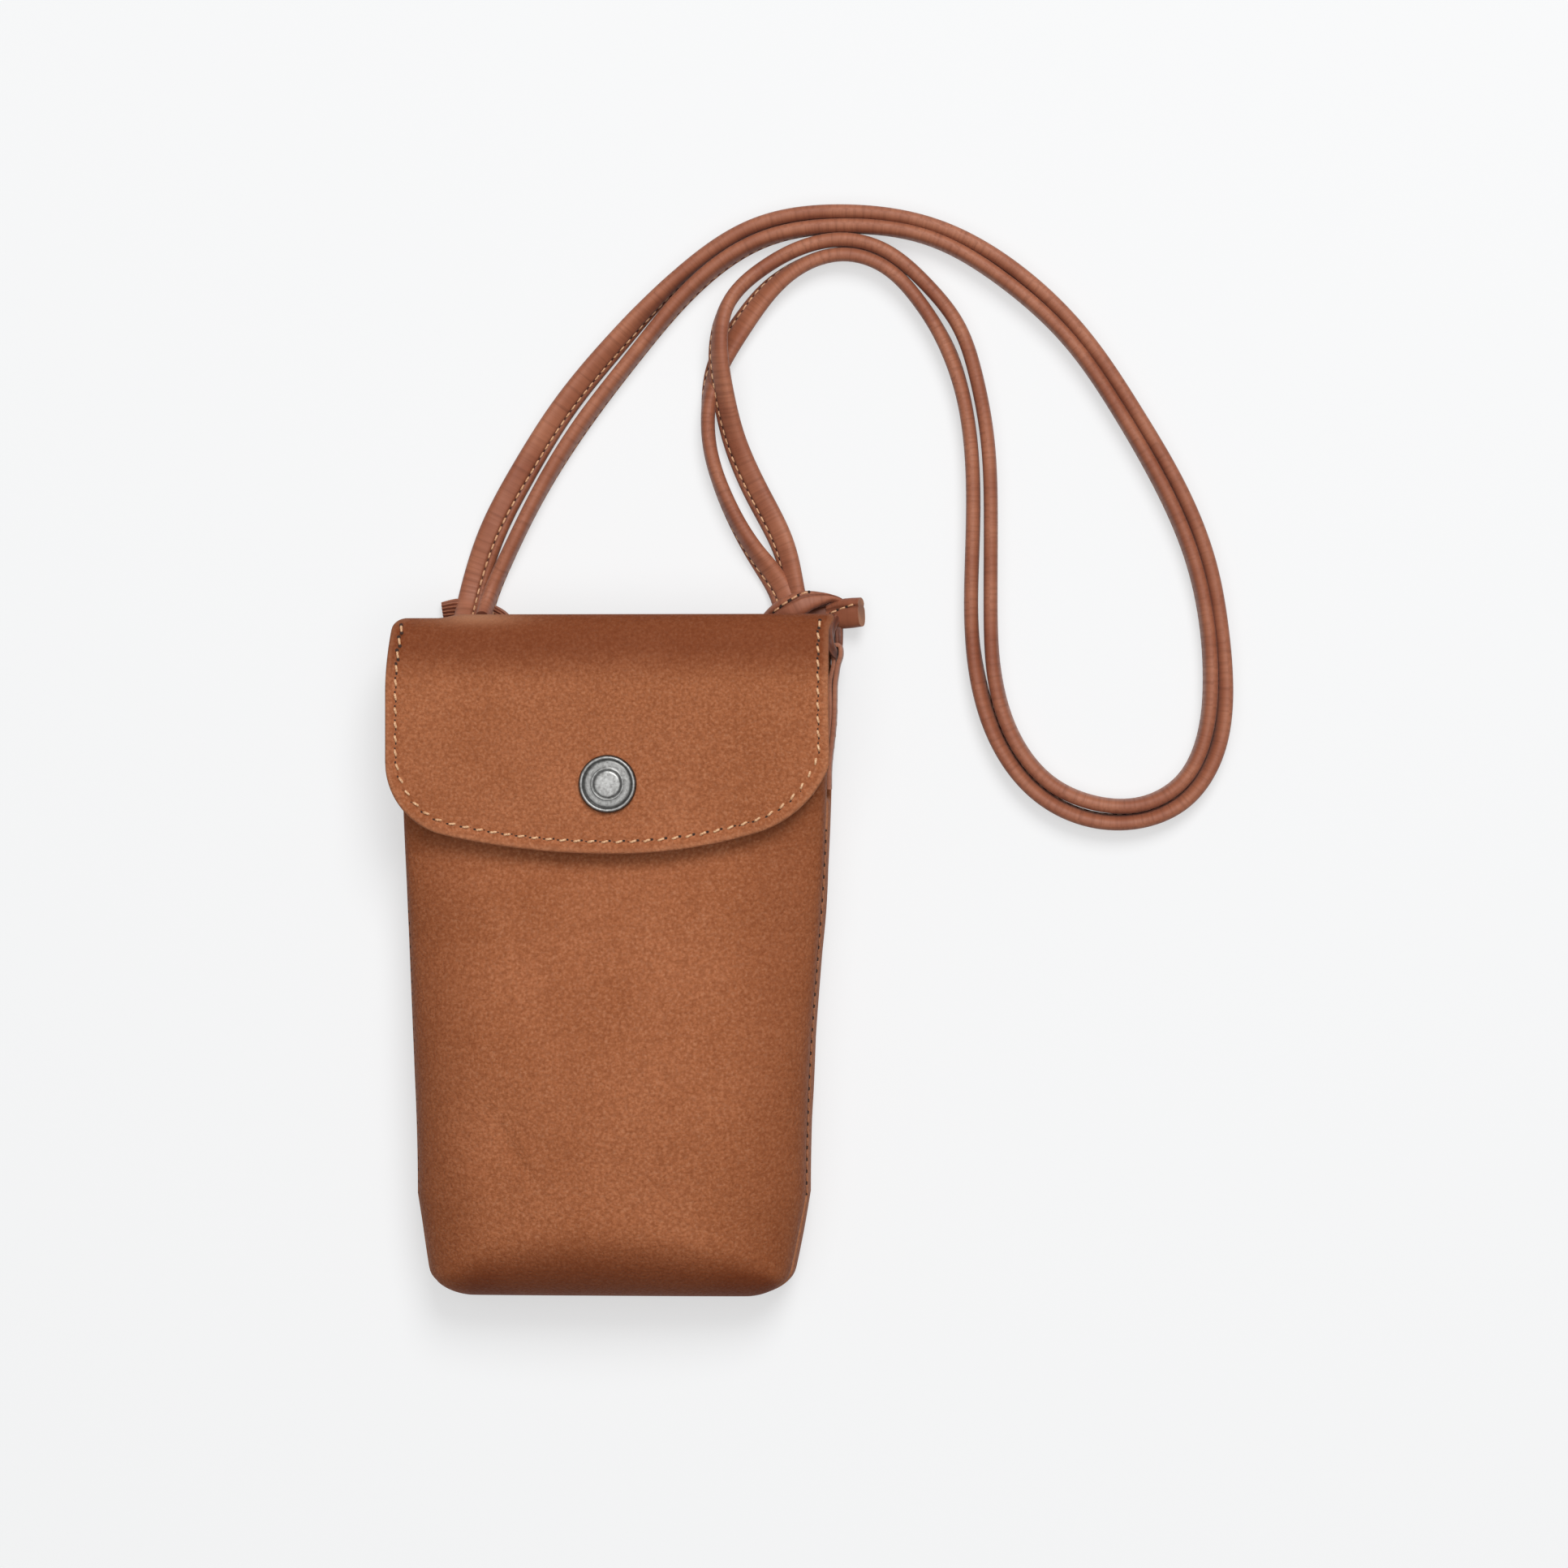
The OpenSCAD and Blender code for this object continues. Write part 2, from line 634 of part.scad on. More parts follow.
// Height of the middle of the lace above the surface at a roll
function lace_rest(roll) =
    max([for (s = lace_shares) s[0] * lace_w / 2 * cos(roll) + s[1] * lace_t / 2 * sin(roll)]);

// A strand of lace that lies on the surface, square to the knots at its ends
module strand(route) {
    up = [0, 0, 1];
    middle = [for (p = route) [p[0], p[1], p[2] + lace_rest(p[3])]];
    color("#a8623f") tube([for (i = [0:len(route) - 1]) let (
        ahead = along(middle, i, [0, 1, 0], [0, -1, 0]),
        right = unit(cross(ahead, up)),
        above = cross(right, ahead),
        roll = route[i][3],
        wide = cos(roll) * above - sin(roll) * right,
        thick = cos(roll) * right + sin(roll) * above
    ) ring(middle[i], wide, lace_w, thick, lace_t)]);
}

// Drawn-in lace whose through direction is carried from ring to ring without twisting
function carried(dirs, through, i) = i == 0 ? through
    : let (before = carried(dirs, through, i - 1)) unit(before - (before * dirs[i]) * dirs[i]);
module neck(route, first, last, through) {
    dirs = [for (i = [0:len(route) - 1]) along(route, i, first, last)];
    color("#a05a3a") tube([for (i = [0:len(route) - 1]) let (side = carried(dirs, through, i))
        ring(route[i], cross(side, dirs[i]), neck_w, side, neck_t)]);
}
module inner_strand() {
    strand(inner_route);
}
module outer_strand() {
    strand(outer_route);
}
module left_neck() {
    neck(left_neck_route, [-1, 0, 0], [1, 0, 0], [0, 0, 1]);
}
module right_neck() {
    neck(right_neck_route, [0, -1, 0], [0, 1, 0], [1, 0, 0]);
}

// A wrap of lace round the strands, seen from the end as a box with round corners
wrap_h = 7.4;
wrap_r = 1.5;
module rounded_box(low, high) {
    left = low[0] + wrap_r;
    right = high[0] - wrap_r;
    bottom = low[2] + wrap_r;
    top = high[2] - wrap_r;
    translate([0, high[1], 0]) rotate([90, 0, 0]) linear_extrude(high[1] - low[1]) polygon(concat(
        arc([right, top], wrap_r, 0, 90), arc([left, top], wrap_r, 90, 180),
        arc([left, bottom], wrap_r, 180, 270), arc([right, bottom], wrap_r, 270, 360)
    ));
}
// How far each wrap reaches past the strands at its sides, and along them
wrap_side = 5;
hitch_l = 6.8;
knot_side = 4;
inner_end = inner_route[len(inner_route) - 1];
hitch_low = [left_neck_route[0][0], inner_end[1] - hitch_l, 0];
hitch_high = [inner_end[0] + wrap_side, inner_end[1], wrap_h];
knot_low = [outer_route[0][0] - knot_side, right_neck_route[0][1], 0];
knot_high = [inner_route[0][0] + wrap_side, inner_route[0][1], wrap_h];
// End of the tail of the knot, and how much lower than the wrap it is
tail_reach = 7.35;
tail_end_x = right_neck_route[0][0] + tail_reach;
tail_in = 0.4;
module left_hitch() {
    color("#9c5636") rounded_box(hitch_low, hitch_high);
}
module right_knot() {
    color("#9c5636") union() {
        rounded_box(knot_low, knot_high);
        rounded_box(
            [knot_high[0] - 2 * wrap_r, knot_low[1], 0],
            [tail_end_x, knot_high[1] - tail_in, wrap_h - tail_in / 2]
        );
    }
}

front_panel();
back_panel();
left_gusset();
right_gusset();
base_panel();
mouth_facing();
lining_front();
lining_back();
seam_thread();
flap_tail();
tail_thread();
left_tab();
right_tab();
tab_thread();
flap_bridge();
bridge_lining();
flap_leather();
flap_lining();
flap_thread();
snap_cap();
snap_socket();
snap_spring();
snap_stud();
snap_post();
inner_strand();
outer_strand();
left_hitch();
left_neck();
right_knot();
right_neck();
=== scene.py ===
"""Looks of a tan leather phone pouch with a snap flap and a long folded lace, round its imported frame."""

import math

import bpy
import numpy as np
from mathutils import Matrix


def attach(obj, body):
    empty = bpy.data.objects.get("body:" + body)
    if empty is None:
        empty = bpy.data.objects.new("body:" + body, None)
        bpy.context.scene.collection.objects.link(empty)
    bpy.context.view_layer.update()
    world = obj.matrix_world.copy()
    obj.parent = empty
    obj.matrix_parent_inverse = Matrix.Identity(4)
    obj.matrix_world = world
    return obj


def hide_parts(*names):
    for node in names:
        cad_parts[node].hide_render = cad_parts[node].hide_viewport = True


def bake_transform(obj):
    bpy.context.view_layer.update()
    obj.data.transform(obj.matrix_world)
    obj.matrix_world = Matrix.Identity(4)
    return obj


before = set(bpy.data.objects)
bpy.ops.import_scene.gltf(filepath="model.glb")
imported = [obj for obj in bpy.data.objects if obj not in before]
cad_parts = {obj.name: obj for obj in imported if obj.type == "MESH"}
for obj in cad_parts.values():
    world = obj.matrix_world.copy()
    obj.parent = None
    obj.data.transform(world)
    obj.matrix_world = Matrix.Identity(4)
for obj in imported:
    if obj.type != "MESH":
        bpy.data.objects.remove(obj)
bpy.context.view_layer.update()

# Sizes are in millimetres, and add_piece turns them to metres
MM = 0.001
UP = np.array([0.0, 0.0, 1.0])

# The camera looks down on the pouch, leaning a little towards its right
PHOTO_PX = 1932
MM_PER_PX = 0.2088
AIM = np.array([44.2, 43.9, 28.0])
EYE_DISTANCE = 1200.0
LEAN = math.radians(2.9)
SENSOR_W = 36.0

# Main sizes of the pouch. They are the part's, but its top and base, the sides of the flap and the place of
# the tabs and the cap follow the photograph more closely
TOP_Y = 87.95
BASE_Y = -88.4
MOUTH_Y = 76.0
CORNER_Y = -63.0
CORNER_POWER = 1.7
WIDE_Y = 60.0
PINCH_Y = 56.0
PINCH_RUN = 16.0
PINCH_IN = 0.6
POUCH_W = 112.4
LOW_W = 102.4
BASE_W = 80.6
ROLL_BASE_Y = -89.4
RISE_Y = 32.0
BACK_RISE = 9.4
GUSSET_Y = 70.5
SEAM_Z = 14.0
SEAM_STEP = 0.7
LEATHER_T = 1.4
RIM_IN = LEATHER_T / 2
LINING_T = 0.6
PLY = 0.1
FACING_T = 0.8
FACING_H = 14.0
FOLD_R = 3.5
FOLD_Y = TOP_Y - FOLD_R
FLAP_LEFT = 58.95
FLAP_RIGHT = 55.9
FLAP_ROOT_W = 104.0
FLAP_LOW_Y = 25.9
FLAP_Z = 29.3
FLAP_LINING_T = 0.7
FLAP_LINING_IN = 0.4
TAIL_Y = 60.0
TAIL_CORNER_R = 10.0
SNAP_X = -1.2
SNAP_Y = 43.9
SOCKET_R = 6.3
LACE_W = 7.2
LACE_T = 3.7
NECK_W = 3.4
NECK_T = 2.9
TAB_X = 57.2
TAB_Y = 42.5
TAB_W = 7.0
TAB_T = 1.2
TAB_LEG = 0.6
TAB_EYE = 0.95
TAB_Z = 9.9
EYE_Y = 76.0


def smooth(t):
    """A step from 0 to 1: 3 t^2 - 2 t^3 with t held between 0 and 1."""
    t = np.clip(t, 0.0, 1.0)
    return t * t * (3 - 2 * t)


def unit(v):
    """Each vector divided by its own length."""
    return v / np.maximum(np.linalg.norm(v, axis=-1, keepdims=True), 1e-12)


def hill(x, y, x0, y0, rx, ry):
    """A rounded hill of height 1: exp(-((x - x0) / rx)^2 - ((y - y0) / ry)^2)."""
    return np.exp(-(((x - x0) / rx) ** 2) - ((y - y0) / ry) ** 2)


# Meshes


def grid_faces(rows, cols, closed=False):
    """Quads between neighbours of a grid of points; closed joins the last column to the first."""
    i, j = np.meshgrid(np.arange(rows - 1), np.arange(cols if closed else cols - 1), indexing="ij")
    k = (j + 1) % cols
    return np.stack([i * cols + j, i * cols + k, (i + 1) * cols + k, (i + 1) * cols + j], -1).reshape(-1, 4)


def volume(points, faces):
    """Six times the signed volume: the sum over the faces' triangles of a . (b x c)."""
    total = 0.0
    for k in range(1, faces.shape[1] - 1):
        a, b, c = points[faces[:, 0]], points[faces[:, k]], points[faces[:, k + 1]]
        total += np.einsum("ij,ij->", a, np.cross(b, c))
    return total


def add_piece(name, points, quads, finishes, body, stands_for=(), caps=(), uv=None, marks=None,
              finish_of=None):
    """Makes a mesh of points in millimetres, turned so that its faces look outward, and fits it to the frame.
    caps are faces of any number of corners, marks are named values of each point for its material, and
    finish_of gives each face's material by number."""
    faces = quads.tolist() + [list(c) for c in caps]
    if volume(points, quads) + sum(volume(points, np.array([c])) for c in caps) < 0:
        faces = [f[::-1] for f in faces]
    mesh = bpy.data.meshes.new(name)
    mesh.from_pydata((points * MM).tolist(), [], faces)
    for finish in finishes:
        mesh.materials.append(finish)
    corner_points = np.zeros(len(mesh.loops), int)
    mesh.loops.foreach_get("vertex_index", corner_points)
    if uv is not None:
        mesh.uv_layers.new(name="UVMap").data.foreach_set("uv", uv[corner_points].ravel())
    for mark, values in (marks or {}).items():
        mesh.attributes.new(mark, "FLOAT", "POINT").data.foreach_set("value", np.ravel(values).astype(float))
    if finish_of is not None:
        mesh.polygons.foreach_set("material_index", finish_of)
    mesh.shade_smooth()
    mesh.set_sharp_from_angle(angle=math.radians(55))
    piece = bpy.data.objects.new(name, mesh)
    bpy.context.scene.collection.objects.link(piece)
    if body:
        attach(piece, body)
    if stands_for:
        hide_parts(*stands_for)
    return piece


# Rows of faces over each rounded rim of a slab
RIM_STEPS = 3


def toward(v, way):
    """v as a unit vector, turned round where it points away from way."""
    return unit(v) * np.sign(np.einsum("ijk,ijk->ij", v, way))[..., None]


def slab(outer, thickness):
    """Points and faces of a sheet of some thickness under the grid outer, with half-round rims outside it.
    The middle of the sheet is outer - n t / 2, and both faces are middle + t / 2 (s n cos e + u sin a + v
    sin b), where n is the normal, s is 1 or -1, u and v point out over the rims, a and b run from 0 to 90
    degrees over them and e is the larger; u sin a + v sin b is kept to a length of 1, which rounds the
    corners. Also gives how far each point is over a rim, from 0 to 1, and which points of the grid and its
    rims are kept."""
    rows, cols = outer.shape[:2]
    along, across = np.gradient(outer, axis=0), np.gradient(outer, axis=1)
    normal = unit(np.cross(along, across))
    middle = outer - normal * thickness / 2
    out_row = toward(np.cross(normal, across), along)
    out_col = toward(np.cross(along, normal), across)
    i, j = np.arange(-RIM_STEPS, rows + RIM_STEPS), np.arange(-RIM_STEPS, cols + RIM_STEPS)
    over_i = np.where(i < 0, i, np.maximum(i - rows + 1, 0)) / RIM_STEPS
    over_j = np.where(j < 0, j, np.maximum(j - cols + 1, 0)) / RIM_STEPS
    at = np.ix_(np.clip(i, 0, rows - 1), np.clip(j, 0, cols - 1))
    over = np.maximum(np.abs(over_i)[:, None], np.abs(over_j)[None])
    rise = normal[at] * np.cos(over * math.pi / 2)[..., None]
    side = out_row[at] * np.sin(over_i * math.pi / 2)[:, None, None] \
        + out_col[at] * np.sin(over_j * math.pi / 2)[None, :, None]
    side = side / np.maximum(np.linalg.norm(side, axis=-1, keepdims=True), 1)
    points = np.stack([middle[at] + thickness / 2 * (way * rise + side) for way in (1, -1)])
    index = np.arange(over.size).reshape(over.shape)
    under = index + over.size
    under[0], under[-1], under[:, 0], under[:, -1] = index[0], index[-1], index[:, 0], index[:, -1]
    quads = grid_faces(*over.shape)
    quads = np.concatenate([quads, under.ravel()[quads][:, ::-1]])
    kept, quads_kept = np.unique(quads.ravel(), return_inverse=True)
    return points.reshape(-1, 3)[kept], quads_kept.reshape(-1, 4), np.tile(over.ravel(), 2)[kept], kept


def both_faces(values, kept):
    """A value of each point of slab's grid, spread to its rims and its lower face."""
    return np.tile(np.pad(values, RIM_STEPS, mode="edge").ravel(), 2)[kept]


# Colours and materials


def tone(code):
    """An sRGB hex colour as linear RGBA: c / 12.92 below 0.04045, and ((c + 0.055) / 1.055)^2.4 above."""
    c = np.array([int(code[i:i + 2], 16) for i in (1, 3, 5)]) / 255
    return (*np.where(c <= 0.04045, c / 12.92, ((c + 0.055) / 1.055) ** 2.4), 1.0)


def per_metre(mm):
    """How often a pattern of that size repeats in a metre."""
    return 1 / (mm * MM)


def node(tree, kind, sockets=None, out=0, **settings):
    """Adds a node with its settings, and gives its output out. Each socket gets a value or the output that
    feeds it."""
    made = tree.nodes.new("ShaderNode" + kind)
    for name, value in settings.items():
        setattr(made, name, value)
    for name, value in (sockets or {}).items():
        if isinstance(value, bpy.types.NodeSocket):
            tree.links.new(value, made.inputs[name])
        else:
            made.inputs[name].default_value = value
    return made.outputs[out] if made.outputs else made


def emptied(owner):
    """The node tree of a material or world, with nothing in it."""
    owner.use_nodes = True
    owner.node_tree.nodes.clear()
    return owner.node_tree


def new_finish(name):
    """An empty material, its tree and its texture coordinates."""
    finish = bpy.data.materials.new(name)
    tree = emptied(finish)
    return finish, tree, node(tree, "TexCoord").node.outputs


def shaded(finish, base, layers, sockets):
    """Gives a material its shader. Over its base colour lie others, each as (value, low, high, share,
    colour): its share of the mix rises from nothing where the value is low to the full share where it is
    high."""
    tree = finish.node_tree
    base = tone(base)
    for value, low, high, share, code in layers:
        mix = node(tree, "MapRange", {"Value": value, "From Min": low, "From Max": high, "To Max": share})
        base = node(tree, "Mix", {0: mix, 6: base, 7: tone(code)}, 2, data_type="RGBA")
    node(tree, "OutputMaterial", {"Surface": node(tree, "BsdfPrincipled", {"Base Color": base, **sockets})})
    return finish


def drawn_leather(name, light, dark, pit, pale, grain_mm, grain_depth, gloss):
    """Drum-dyed full-grain calf, lightly corrected: an even tan with a soft cloud of tone and fine round grain
    that breaks the satin shine. Painted shade darkens its turns and sides, and a painted highlight lightens
    its rims. The real grain is a few tenths of a millimetre wide, and is drawn coarser so that it shows."""
    finish, tree, place = new_finish(name)
    where = place["Object"]
    cloud = node(tree, "TexNoise", {"Vector": where, "Scale": per_metre(26), "Detail": 3.0})
    mottle, pores = [
        node(tree, "TexNoise", {"Vector": where, "Scale": per_metre(mm), "Detail": 3.0, "Roughness": 0.6})
        for mm in (grain_mm * 0.7, grain_mm * 0.45)]
    cells = node(tree, "TexVoronoi", {"Vector": where, "Scale": per_metre(grain_mm), "Smoothness": 0.6},
                 feature="SMOOTH_F1")
    # The first mark paints shade on turns and sides, the second paints a highlight on the rims
    painted_shade, rim = [node(tree, "Attribute", None, "Fac", attribute_name=mark) for mark in ("painted_shade", "rim")]
    grain = node(tree, "Bump", {"Height": mottle, "Distance": grain_depth * MM, "Strength": 0.8})
    return shaded(finish, dark, [
        (cloud, 0.3, 0.7, 1, light), (mottle, 0.5, 0.7, 0.5, pit), (mottle, 0.5, 0.3, 0.4, pale),
        (cells, 0.3, 0.7, 0.4, pit), (painted_shade, 0, 1, 1, "#682c10"), (rim, 0, 1, 1, pale),
    ], {
        "Roughness": node(tree, "MapRange", {"Value": mottle, "From Min": 0.3, "From Max": 0.7,
                                             "To Min": gloss, "To Max": gloss + 0.12}),
        "Normal": node(tree, "Bump", {"Height": pores, "Distance": grain_depth * 0.5 * MM, "Strength": 0.5,
                                      "Normal": grain}),
        "Specular IOR Level": 0.1, "Sheen Weight": 0.02, "Sheen Roughness": 0.4,
    })


def lace_leather(name, light, dark):
    """Skived calf, folded and rolled: smoother than the body, with fine creases across it where it bends.
    Painted shade darkens it in the stitched channel, its folds, pleats and knots, and a painted highlight
    lightens its rims. The UV map runs once round the lace and in metres along it."""
    finish, tree, place = new_finish(name)
    where = place["Object"]
    cloud = node(tree, "TexNoise", {"Vector": where, "Scale": per_metre(14), "Detail": 3.0})
    pores = node(tree, "TexNoise", {"Vector": where, "Scale": per_metre(0.7), "Detail": 3.0, "Roughness": 0.6})
    stretched = node(tree, "Mapping", {"Vector": place["UV"], "Scale": (0.9, per_metre(1.1), 1.0)})
    creases = node(tree, "TexNoise", {"Vector": stretched, "Scale": 1.0, "Detail": 3.0, "Roughness": 0.6},
                   noise_dimensions="2D")
    # The first mark paints shade in channels, folds and knots, the second paints a highlight on the rims
    painted_shade, rim = [node(tree, "Attribute", None, "Fac", attribute_name=mark) for mark in ("painted_shade", "rim")]
    folds = node(tree, "Bump", {"Height": creases, "Distance": 0.16 * MM, "Strength": 0.55})
    return shaded(finish, dark, [
        (cloud, 0.3, 0.7, 1, light), (creases, 0.45, 0.75, 0.5, "#6f3b23"), (painted_shade, 0, 1, 1, "#5b2a14"),
        (rim, 0, 1, 1, "#c08a66"),
    ], {
        "Roughness": node(tree, "MapRange", {"Value": creases, "From Min": 0.3, "From Max": 0.7,
                                             "To Min": 0.5, "To Max": 0.62}),
        "Normal": node(tree, "Bump", {"Height": pores, "Distance": 0.06 * MM, "Strength": 0.4,
                                      "Normal": folds}),
        "Specular IOR Level": 0.45, "Sheen Weight": 0.1,
    })


def woven_cotton(name, light, dark, thread_mm):
    """Plain-woven cotton: matt, with threads that cross one over one. They are drawn thread_mm wide, twice
    the real width, so that they show."""
    finish, tree, place = new_finish(name)
    axes = node(tree, "SeparateXYZ", {"Vector": place["Object"]}).node.outputs
    per_thread = math.pi / (thread_mm * MM)
    turns = [node(tree, "Math", {0: axes[k], 1: per_thread}, operation="MULTIPLY") for k in (0, 1)]
    warp, weft = [node(tree, "Math", {0: turn}, operation="SINE") for turn in turns]
    weave = node(tree, "Math", {0: warp, 1: weft}, operation="MULTIPLY")
    slub = node(tree, "TexNoise", {"Vector": place["Object"], "Scale": per_metre(5), "Detail": 4.0})
    return shaded(finish, dark, [(weave, -1, 1, 1, light), (slub, 0.4, 0.8, 0.3, dark)], {
        "Normal": node(tree, "Bump", {"Height": weave, "Distance": 0.15 * MM, "Strength": 0.6}),
        "Roughness": 0.9, "Sheen Weight": 0.3,
    })


def waxed_thread(name, light, dark):
    """Waxed polyester thread: plies twisted round each other, with a soft shine on each ply."""
    finish, tree, place = new_finish(name)
    plies = node(tree, "TexNoise", {"Vector": place["Object"], "Scale": per_metre(0.35), "Detail": 1.0})
    return shaded(finish, dark, [(plies, 0.35, 0.65, 1, light)], {
        "Normal": node(tree, "Bump", {"Height": plies, "Distance": 0.08 * MM, "Strength": 0.5}),
        "Roughness": 0.5,
    })


def needle_hole(name):
    """The mouth of a needle hole: painted shade, dark and matt, for the shaded inside of the hole."""
    finish, tree, place = new_finish(name)
    depth = node(tree, "TexNoise", {"Vector": place["Object"], "Scale": per_metre(0.3), "Detail": 1.0})
    return shaded(finish, "#1d0f08", [(depth, 0, 1, 1, "#3a1f12")], {"Roughness": 0.9})


def plated_metal(name, light, dark, roughness, wear_mm, depth):
    """Plated brass, tumbled: a metal with soft scratches and with a darker tone left in its hollows."""
    finish, tree, place = new_finish(name)
    wear = node(tree, "TexNoise", {"Vector": place["Object"], "Scale": per_metre(wear_mm), "Detail": 4.0,
                                   "Roughness": 0.7})
    hollow = node(tree, "Attribute", None, "Fac", attribute_name="hollow")
    return shaded(finish, dark, [(wear, 0.35, 0.65, 1, light), (hollow, 0, 1, 1, "#151412")], {
        "Roughness": node(tree, "MapRange", {"Value": wear, "From Min": 0.3, "From Max": 0.7,
                                             "To Min": roughness, "To Max": roughness + 0.15}),
        "Normal": node(tree, "Bump", {"Height": wear, "Distance": depth * MM, "Strength": 0.4}),
        "Metallic": 1.0,
    })


body_calf = drawn_leather("full_grain_calf", "#b46f49", "#a5623d", "#804425", "#c68e6c", 1.0, 0.4, 0.55)
lining_calf = drawn_leather("split_calf_lining", "#bb8560", "#a97350", "#8f5c3c", "#c59d7e", 0.6, 0.06, 0.65)
lace_calf = lace_leather("folded_calf_lace", "#a9694b", "#8a4a2f")
lace_edge = lace_leather("cut_lace_end", "#b9805c", "#9c6444")
cotton = woven_cotton("plain_woven_cotton", "#bfae92", "#8e7c60", 0.8)
thread = waxed_thread("waxed_polyester_thread", "#eec49a", "#c98f62")
lace_thread = waxed_thread("pale_polyester_thread", "#e3b48c", "#c08a60")
# The seams' and tabs' stitches use a darker copy of the thread: painted shade for where they sit
seam_thread = waxed_thread("shaded_polyester_thread", "#a5663e", "#7a4426")
hole = needle_hole("needle_hole")
gunmetal = plated_metal("antique_gunmetal_plate", "#9a9a98", "#6d6c6a", 0.3, 0.9, 0.05)
nickel = plated_metal("dull_nickel_plate", "#b9b4aa", "#98938a", 0.35, 1.2, 0.02)
spring_wire = plated_metal("bright_spring_wire", "#d2cfc8", "#b5b2ab", 0.2, 0.8, 0.01)


# Camera


def stand(thing, place, right, ahead, away):
    """Puts a camera or a lamp at a place in millimetres, turned to its own three directions."""
    rows = [[right[k], ahead[k], away[k], place[k] * MM] for k in range(3)]
    thing.matrix_world = Matrix(rows + [[0, 0, 0, 1]])
    bpy.context.scene.collection.objects.link(thing)


def make_camera():
    """The camera stands EYE_DISTANCE from the aim along a line that leans LEAN from straight up towards +X,
    with a lens that makes one pixel of the photograph MM_PER_PX wide at the aim."""
    away = np.array([math.sin(LEAN), 0.0, math.cos(LEAN)])
    right = np.array([math.cos(LEAN), 0.0, -math.sin(LEAN)])
    lens = bpy.data.cameras.new("camera")
    lens.sensor_width = SENSOR_W
    lens.lens = SENSOR_W * EYE_DISTANCE / (MM_PER_PX * PHOTO_PX)
    camera = bpy.data.objects.new("camera", lens)
    stand(camera, AIM + EYE_DISTANCE * away, right, (0.0, 1.0, 0.0), away)
    bpy.context.scene.camera = camera


make_camera()


# Paths and sweeps


def run_lengths(path):
    """Running length up to each point of a path."""
    return np.concatenate([[0.0], np.cumsum(np.linalg.norm(np.diff(path[:, :3], axis=0), axis=1))])


def even(path, step):
    """The path again, with its points about step apart along it."""
    runs = run_lengths(path)
    at = np.linspace(0, runs[-1], int(round(runs[-1] / step)) + 1)
    return np.stack([np.interp(at, runs, path[:, k]) for k in range(path.shape[1])], -1)


def spline(knots, step, first=None, last=None):
    """The smooth cubic through the knots by chord length, with points step apart. Its second derivatives m
    solve h0 m0 + 2 (h0 + h1) m1 + h1 m2 = 6 (slope1 - slope0) at each knot; first and last are directions at
    the ends."""
    knots = np.asarray(knots, float)
    chord = run_lengths(knots)
    h = np.diff(chord)
    slope = np.diff(knots, axis=0) / h[:, None]
    count = len(knots)
    left = np.eye(count)
    right = np.zeros_like(knots)
    k = np.arange(1, count - 1)
    left[k, k - 1], left[k, k], left[k, k + 1] = h[:-1], 2 * (h[:-1] + h[1:]), h[1:]
    right[1:-1] = 6 * (slope[1:] - slope[:-1])
    for end, direction in ((0, first), (-1, last)):
        if direction is None:
            continue
        sign, near = (1, 1) if end == 0 else (-1, -2)
        wanted = slope[end].copy()
        wanted[:len(direction)] = direction
        left[end, end], left[end, near] = 2 * h[end], h[end]
        right[end] = 6 * sign * (slope[end] - wanted)
    m = np.linalg.solve(left, right)
    t = np.linspace(0, chord[-1], count * 60)
    i = np.clip(np.searchsorted(chord, t, "right") - 1, 0, count - 2)
    a, b, w = (chord[i + 1] - t)[:, None], (t - chord[i])[:, None], h[i][:, None]
    curve = (m[i] * a ** 3 + m[i + 1] * b ** 3) / (6 * w) + (knots[i] / w - m[i] * w / 6) * a \
        + (knots[i + 1] / w - m[i + 1] * w / 6) * b
    return even(curve, step)


def sweep(middle, wide, thick, section, grow_w=1.0, grow_t=1.0):
    """A tube with closed ends: point (i, k) is middle[i] + wide[i] w[k] + thick[i] t[k], with w and t
    scaled."""
    rings, sides = len(middle), len(section)
    grow_w = np.broadcast_to(grow_w, rings)[:, None, None]
    grow_t = np.broadcast_to(grow_t, rings)[:, None, None]
    points = middle[:, None] + wide[:, None] * section[None, :, :1] * grow_w \
        + thick[:, None] * section[None, :, 1:] * grow_t
    caps = [list(range(sides))[::-1], [(rings - 1) * sides + k for k in range(sides)]]
    around, along = np.meshgrid(np.arange(sides) / sides, run_lengths(middle) * MM)
    uv = np.stack([around, along], -1).reshape(-1, 2)
    return points.reshape(-1, 3), grid_faces(rings, sides, True), caps, uv


